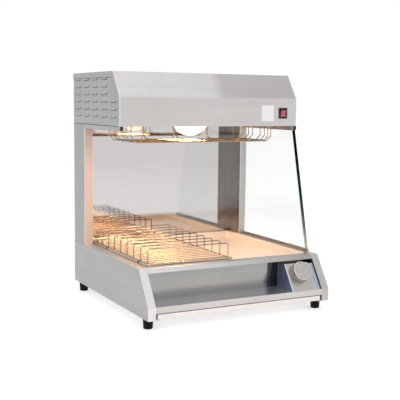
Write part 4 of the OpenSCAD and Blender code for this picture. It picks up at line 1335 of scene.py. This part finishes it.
@dataclass
class LampUnit:
    """Heat lamp with its holder and bracket, and the wire guard below it.

    Attributes:
        half_x: Half the length of the guard's flat bottom.
        half_y: Half its depth.
        bottom_z: Height of the long wires' middle.
        rim_z: Height of the rim's middle.
        shoulder: Size of the guard's sloped shoulders.
        middle_y: Depth of the guard's middle.
        bend: Bend radius of its wires.
        corner: Bend radius of its rim.
        lift: Height of the cross wires over the long ones.
        long_wires: Places of the long wires, as shares of half the guard's depth less its inset.
        cross_wires: Places of the cross wires, as shares of half its length less its inset.
        inset: The two insets, in length and depth.
        bulb_radius: Radius of the bulb.
    """

    half_x: float = 226
    half_y: float = 95
    bottom_z: float = 472
    rim_z: float = 523.5
    shoulder: float = 16
    middle_y: float = 342
    bend: float = 6
    corner: float = 10
    lift: float = 2.8
    long_wires: tuple[float, ...] = (-1, -0.56, -0.27, 0.27, 0.56, 1)
    cross_wires: tuple[float, ...] = (-1, -0.53, 0, 0.53, 1)
    inset: tuple[float, float] = (10, 7)
    bulb_radius: float = 62.5

    def build(self) -> None:
        """Builds and dresses the lamp and its guard."""
        self.bulb()
        dress("ceramic", "lamp_holder")
        dress("fastener_steel", "lamp_bracket", "guard_clips")
        mesh_piece("lamp_basket", self.basket(), "cabinet", ["guard_wire"], ["lamp_guard"],
                   50.0)

    def bulb(self) -> None:
        """Spins the reflector bulb: dome, shoulder, neck and screw cap with its thread."""
        r, placed = self.bulb_radius, Matrix.Translation(LAMP_CENTRE)
        dome = [(r * math.sin(a), -r * math.cos(a)) for a in (math.radians(6 * i) for i in range(16))]
        neck = [(62.2, 4.5), (60.4, 10), (56.5, 17), (50.0, 26), (42.0, 37), (34.0, 48), (27.5, 58),
                (22.5, 66), (19.6, 72), (19.0, 74), (0.0, 74)]
        bm = spun(dome + neck, 64, placed)
        mesh_piece("bulb_glass", bm, "cabinet", ["lamp_glass"], ["heat_lamp"], 60.0)
        thread = [(0.0, 74.2), (12.4, 74.2)]
        for rise in (3.6 * turn for turn in range(6)):
            thread += [(13.2, 76 + rise), (12.2, 77.8 + rise)]
        cap = spun(thread + [(11.0, 99), (5.0, 100.4), (0.0, 101)], 40, placed)
        mesh_piece("bulb_cap", cap, "cabinet", ["fastener_steel"])

    def guard_wire(self, half: float, low: float, along: Vector, middle: Vector) -> BMesh:
        """Bends one guard wire: up, sloped shoulder, flat bottom, shoulder and up.

        Args:
            half: Half the length of its flat bottom.
            low: Height of the flat bottom over the lowest wires.
            along: Direction of the flat bottom.
            middle: Middle of the flat bottom.

        Returns:
            The wire's mesh.
        """
        bend, turn = self.bend, math.pi / 4
        cut = bend * math.tan(turn / 2)
        drop = self.rim_z - self.bottom_z - low - self.shoulder - cut
        slope = self.shoulder * math.sqrt(2) - 2 * cut
        start = middle - along * (half + self.shoulder) * MM
        start.z = height(self.rim_z)
        wire = WireForm(start, -UP, 3.2)
        wire.forward(drop).bend(along, bend, turn, 3).forward(slope)
        wire.bend(UP + along, bend, turn, 3).forward(2 * half - 2 * cut)
        wire.bend(UP, bend, turn, 3).forward(slope).bend(UP - along, bend, turn, 3).forward(drop)
        return wire.finish()

    def basket(self) -> BMesh:
        """Bends the guard's wires and its rim.

        Returns:
            The guard's mesh.
        """
        parts = []
        reach_x, reach_y = self.half_x - self.inset[0], self.half_y - self.inset[1]
        for share in self.long_wires:
            middle = place(MIDDLE, self.middle_y + share * reach_y, self.bottom_z)
            parts.append(self.guard_wire(self.half_x, 0, ACROSS, middle))
        for share in self.cross_wires:
            middle = place(MIDDLE + share * reach_x, self.middle_y, self.bottom_z + self.lift)
            parts.append(self.guard_wire(self.half_y, self.lift, BACK, middle))
        r, out_x, out_y = self.corner, self.half_x + self.shoulder, self.half_y + self.shoulder
        rim = WireForm(place(MIDDLE - out_x + r, self.middle_y - out_y, self.rim_z), ACROSS, 5, 12)
        for reach, inside in ((out_x, BACK), (out_y, -ACROSS), (out_x, -BACK), (out_y, ACROSS)):
            rim.forward(2 * (reach - r)).bend(inside, r)
        return gather([*parts, rim.finish(closed=True)])


@dataclass
class Controls:
    """Control box with its dial, and the rocker switch on the hood.

    Attributes:
        knob_radius: Radius of the knob.
        knob_height: Height of the knob over the slope.
        bore: Radius of its bore.
        pivot: Place of the rocker's pivot.
        rocker_tilt: The rocker's tilt at rest in degrees.
        facet: Angle of the rocker's two facets.
        facet_depth: How far they meet in front of the pivot.
        lens_width: Width of its red lens.
        lens_height: Height of its red lens.
        tab_sides: Left and right side of the tab beside the box.
        tab_up: Length of the tab along the slope.
        tab_under: How far its faces lie under the slope.
        dark_plate_low: Lowest corner of the gloss black plate that paints a dark reflection on the recess
            back.
        dark_plate_high: Its highest corner.
    """

    knob_radius: float = 30
    knob_height: float = 20
    bore: float = 3.05
    pivot: tuple[float, float, float] = (550.5, 201, 561)
    rocker_tilt: float = 9
    facet: float = math.atan2(2.4, 12.0)
    facet_depth: float = 3.8
    lens_width: float = 17.5
    lens_height: float = 20
    tab_sides: tuple[float, float] = (555.6, 572.6)
    tab_up: tuple[float, float] = (2, 88)
    tab_under: tuple[float, float] = (5.5, 4)
    dark_plate_low: tuple[float, float, float] = (434, 85.9, 38.5)
    dark_plate_high: tuple[float, float, float] = (470.5, 86.45, 130.0)

    def build(self) -> None:
        """Builds and dresses the controls."""
        # The box's sides take a painted reflection and its folds a painted highlight.
        rolled_sheet("dial_panel", "control_box", ["panel_sheet", "box_side_sheet", "fold_painted_highlight"], 0.0018,
                     pick=self.panel_face)
        dress("fastener_steel", "thermostat", "dial_spindle", "rear_screws")
        dress("terminal_plastic", "terminal_block")
        dress("black_plastic", "cord_gland", "switch_body", "switch_rocker")
        self.knob()
        self.lens()
        self.dark_reflection_plate()
        self.tab()

    def knob(self) -> None:
        """Spins the knob with ring grooves, a rounded rim and a marked pointer."""
        r, h = self.knob_radius, self.knob_height
        profile = [(self.bore, -1.2), (r - 1.4, -1.2), (r - 1.0, -0.8), (r - 1.0, 2.6), (r - 0.5, 2.9),
                   (r, 3.4), (r, h - 2.6), (r - 0.4, h - 1.4), (r - 1.2, h - 0.5), (r - 2.4, h)]
        for edge in (r * 3 / 4, r / 2, r / 4):
            profile += [(edge + 0.9, h), (edge + 0.7, h - 0.5), (edge + 0.1, h - 0.5), (edge - 0.1, h)]
        profile += [(0.0, h), (0.0, h - 4), (self.bore, h - 4)]
        tilt = Matrix.Translation(DIAL_FOOT) @ Matrix.Rotation(SLOPE_ANGLE, 4, "X")
        bm = spun(profile, 72, tilt, closed=False)
        mesh_piece("turned_knob", bm, "dial", ["knob_metal"], ["dial_knob"], 30.0)
        mark = slab(Vector((-0.9, r - 7, h - 0.3)) * MM, Vector((0.9, r - 2.4, h + 0.12)) * MM, 0.00025)
        mesh_piece("dial_pointer", moved(mark, tilt), "dial", ["black_plastic"])

    def lens(self) -> None:
        """Lays the red lens on both facets of the rocker, with a bar on one and a ring on the other."""
        half_w, reach = self.lens_width / 2, self.lens_height / 2
        tilt = Matrix.Rotation(math.radians(self.rocker_tilt), 4, "X")
        ridge = Matrix.Translation(Vector((0, -self.facet_depth, 0)) * MM)
        rest = Matrix.Translation(place(*self.pivot)) @ tilt @ ridge
        bar = slab(Vector((-0.35, -0.45, 3.6)) * MM, Vector((0.35, -0.3, 7.2)) * MM)
        round_mark = Matrix.Translation(Vector((0, -0.3, -5.4)) * MM) @ Matrix.Rotation(QUARTER, 4, "X")
        ring = spun([(1.3, 0.0), (1.9, 0.0), (1.9, 0.15), (1.3, 0.15)], 24, round_mark, closed=False)
        lenses, marks = [], []
        for side, mark in ((1, bar), (-1, ring)):
            turn = rest @ Matrix.Rotation(side * self.facet, 4, "X")
            low, high = sorted((0.15 * side, reach * side))
            glass = slab(Vector((-half_w, -0.35, low)) * MM, Vector((half_w, 0.1, high)) * MM, 0.00015)
            lenses.append(moved(glass, turn))
            marks.append(moved(mark, turn))
        mesh_piece("rocker_lens", gather(lenses), "rocker", ["red_plastic"])
        mesh_piece("rocker_marks", gather(marks), "rocker", ["mark_white"])

    def panel_face(self, face: BMFace) -> int:
        """Returns 0 for the panel, 1 for the sides of the box, which take a painted reflection, and 2 for the
        rolled folds, which take a painted highlight.
        """
        aside = abs(face.normal.x)
        if aside > 0.9:
            return 1
        return 2 if aside > 0.15 else 0

    def tab(self) -> None:
        """Makes the tab that closes the gap between the control box and the right side; its pale lilac tone is
        a painted reflection.
        """
        left, right = (place(x, 0, 0).x for x in self.tab_sides)
        foot = place(0, 0, SLOPE_FOOT)
        low, high = ((up * MM, -under * MM) for up, under in zip(self.tab_up, self.tab_under))
        bm = slab(Vector((left, *low)), Vector((right, *high)), 0.0003)
        moved(bm, Matrix.Translation((0, foot.y, foot.z)) @ Matrix.Rotation(SLOPE_ANGLE, 4, "X"))
        mesh_piece("box_tab", bm, "cabinet", ["tab_painted_reflection"])

    def dark_reflection_plate(self) -> None:
        """Makes the gloss black plate on the recess back beside the control box, a painted dark reflection of
        the box's side.
        """
        bm = slab(place(*self.dark_plate_low), place(*self.dark_plate_high), 0.00015)
        mesh_piece("painted_dark_reflection_plate", bm, "cabinet", ["gloss_black"])


# Studio


@dataclass
class Viewpoint:
    """The camera at the photograph's viewing angle.

    Attributes:
        position: Place of the lens in metres.
        yaw: Turn from +Y towards +X in degrees.
        pitch: Tilt below the horizon in degrees.
        roll: Roll in degrees.
        lens: Focal length in millimetres.
    """

    position: tuple[float, float, float] = (-1.2051, -2.3260, 0.6264)
    yaw: float = 27.684
    pitch: float = 6.752
    roll: float = 0.657
    lens: float = 75.26

    def build(self) -> None:
        """Makes the camera and gives it to the scene."""
        yaw, pitch, roll = (math.radians(value) for value in (self.yaw, self.pitch, self.roll))
        forward = Vector((math.sin(yaw) * math.cos(pitch), math.cos(yaw) * math.cos(pitch), -math.sin(pitch)))
        right = Vector((math.cos(yaw), -math.sin(yaw), 0))
        up = right.cross(forward)
        across = right * math.cos(roll) + up * math.sin(roll)
        above = up * math.cos(roll) - right * math.sin(roll)
        data = bpy.data.cameras.new("viewpoint")
        data.sensor_width = 36
        data.lens = self.lens
        data.clip_start = 0.05
        camera = add_object("viewpoint", data)
        turn = Matrix((across, above, -forward)).transposed().to_4x4()
        camera.matrix_world = Matrix.Translation(self.position) @ turn
        bpy.context.scene.camera = camera


@dataclass
class Softbox:
    """One soft rectangular lamp.

    Attributes:
        name: Name of the lamp.
        centre: Its place in metres.
        target: The point that it faces.
        size: Its width and height in metres.
        power: Its power in watts.
        colour: Its display colour.
    """

    name: str
    centre: tuple[float, float, float]
    target: tuple[float, float, float]
    size: tuple[float, float]
    power: float
    colour: Colour = (255, 255, 255)

    def build(self) -> None:
        """Makes the lamp."""
        data = bpy.data.lights.new(self.name, "AREA")
        data.shape = "RECTANGLE"
        data.size, data.size_y = self.size
        data.energy = self.power
        data.color = linear(*self.colour)[:3]
        lamp = add_object(self.name, data)
        aim = Vector(self.target) - Vector(self.centre)
        turn = aim.to_track_quat("-Z", "Y").to_matrix().to_4x4()
        lamp.matrix_world = Matrix.Translation(self.centre) @ turn


@dataclass
class Studio:
    """Pale floor, white surroundings and soft lamps.

    Attributes:
        surround: Strength of the surroundings as a light on matt surfaces.
        floor_lift: How much the floor is lifted to white where it is looked at.
    """

    surround: float = 0.7
    floor_lift: float = 0.45

    def build(self) -> None:
        """Builds the floor, the surroundings and the lamps."""
        Viewpoint().build()
        self.world()
        self.floor()
        Softbox("front_softbox", (-1.2, -3.2, 2.6), (0, 0, 0.35), (2.6, 1.8), 22).build()
        Softbox("top_softbox", (0.2, -0.6, 3.2), (0, 0, 0.3), (2.4, 2.4), 8).build()
        beam = place(MIDDLE, 350, 483)
        Softbox("heat_lamp_beam", tuple(beam), (beam.x, beam.y, 0.0), (0.09, 0.09), 2.7,
                (255, 208, 164)).build()
        bpy.context.scene.view_settings.view_transform = "Standard"

    def world(self) -> None:
        """Makes surroundings that are white where they are seen, and softer as a light."""
        world = bpy.data.worlds.new("surroundings")
        bpy.context.scene.world = world
        world.use_nodes = True
        world.node_tree.nodes.clear()
        w = Wiring(world.node_tree)
        plain = w.add("ShaderNodeBackground", {"Color": WHITE, "Strength": self.surround})
        white = w.add("ShaderNodeBackground", {"Color": WHITE, "Strength": 1.0})
        mix = w.add("ShaderNodeMixShader", {0: w.seen(), 1: plain.outputs[0], 2: white.outputs[0]})
        w.add("ShaderNodeOutputWorld", {"Surface": mix.outputs[0]})

    def floor(self) -> None:
        """Makes the plain pale floor, which keeps the object's shadow."""
        bm = bmesh.new()
        bmesh.ops.create_circle(bm, cap_ends=True, radius=25.0, segments=64)
        bmesh.ops.inset_region(bm, faces=bm.faces[:], thickness=20.0)
        mesh = bpy.data.meshes.new("studio_floor")
        bm.to_mesh(mesh)
        bm.free()
        floor = add_object("studio_floor", mesh)
        sheet = MaterialSheet("studio_floor")
        w = sheet.wiring
        sheet.feed("Base Color", (0.9, 0.9, 0.9, 1))
        sheet.feed("Roughness", 0.9)
        sheet.feed("Specular IOR Level", 0.0)
        sheet.feed("Emission Color", WHITE)
        sheet.feed("Emission Strength", w.maths("MULTIPLY", w.seen(), self.floor_lift))
        mesh.materials.append(sheet.material)


def main() -> None:
    """Builds every sub-assembly in order."""
    logging.basicConfig(level=logging.INFO, format="%(name)s: %(message)s")
    Studio().build()
    for assembly in (Base, TrayAndRack, Walls, Hood, LampUnit, Controls):
        log.info("building %s", assembly.__name__)
        assembly().build()


if __name__ == "__main__":
    main()
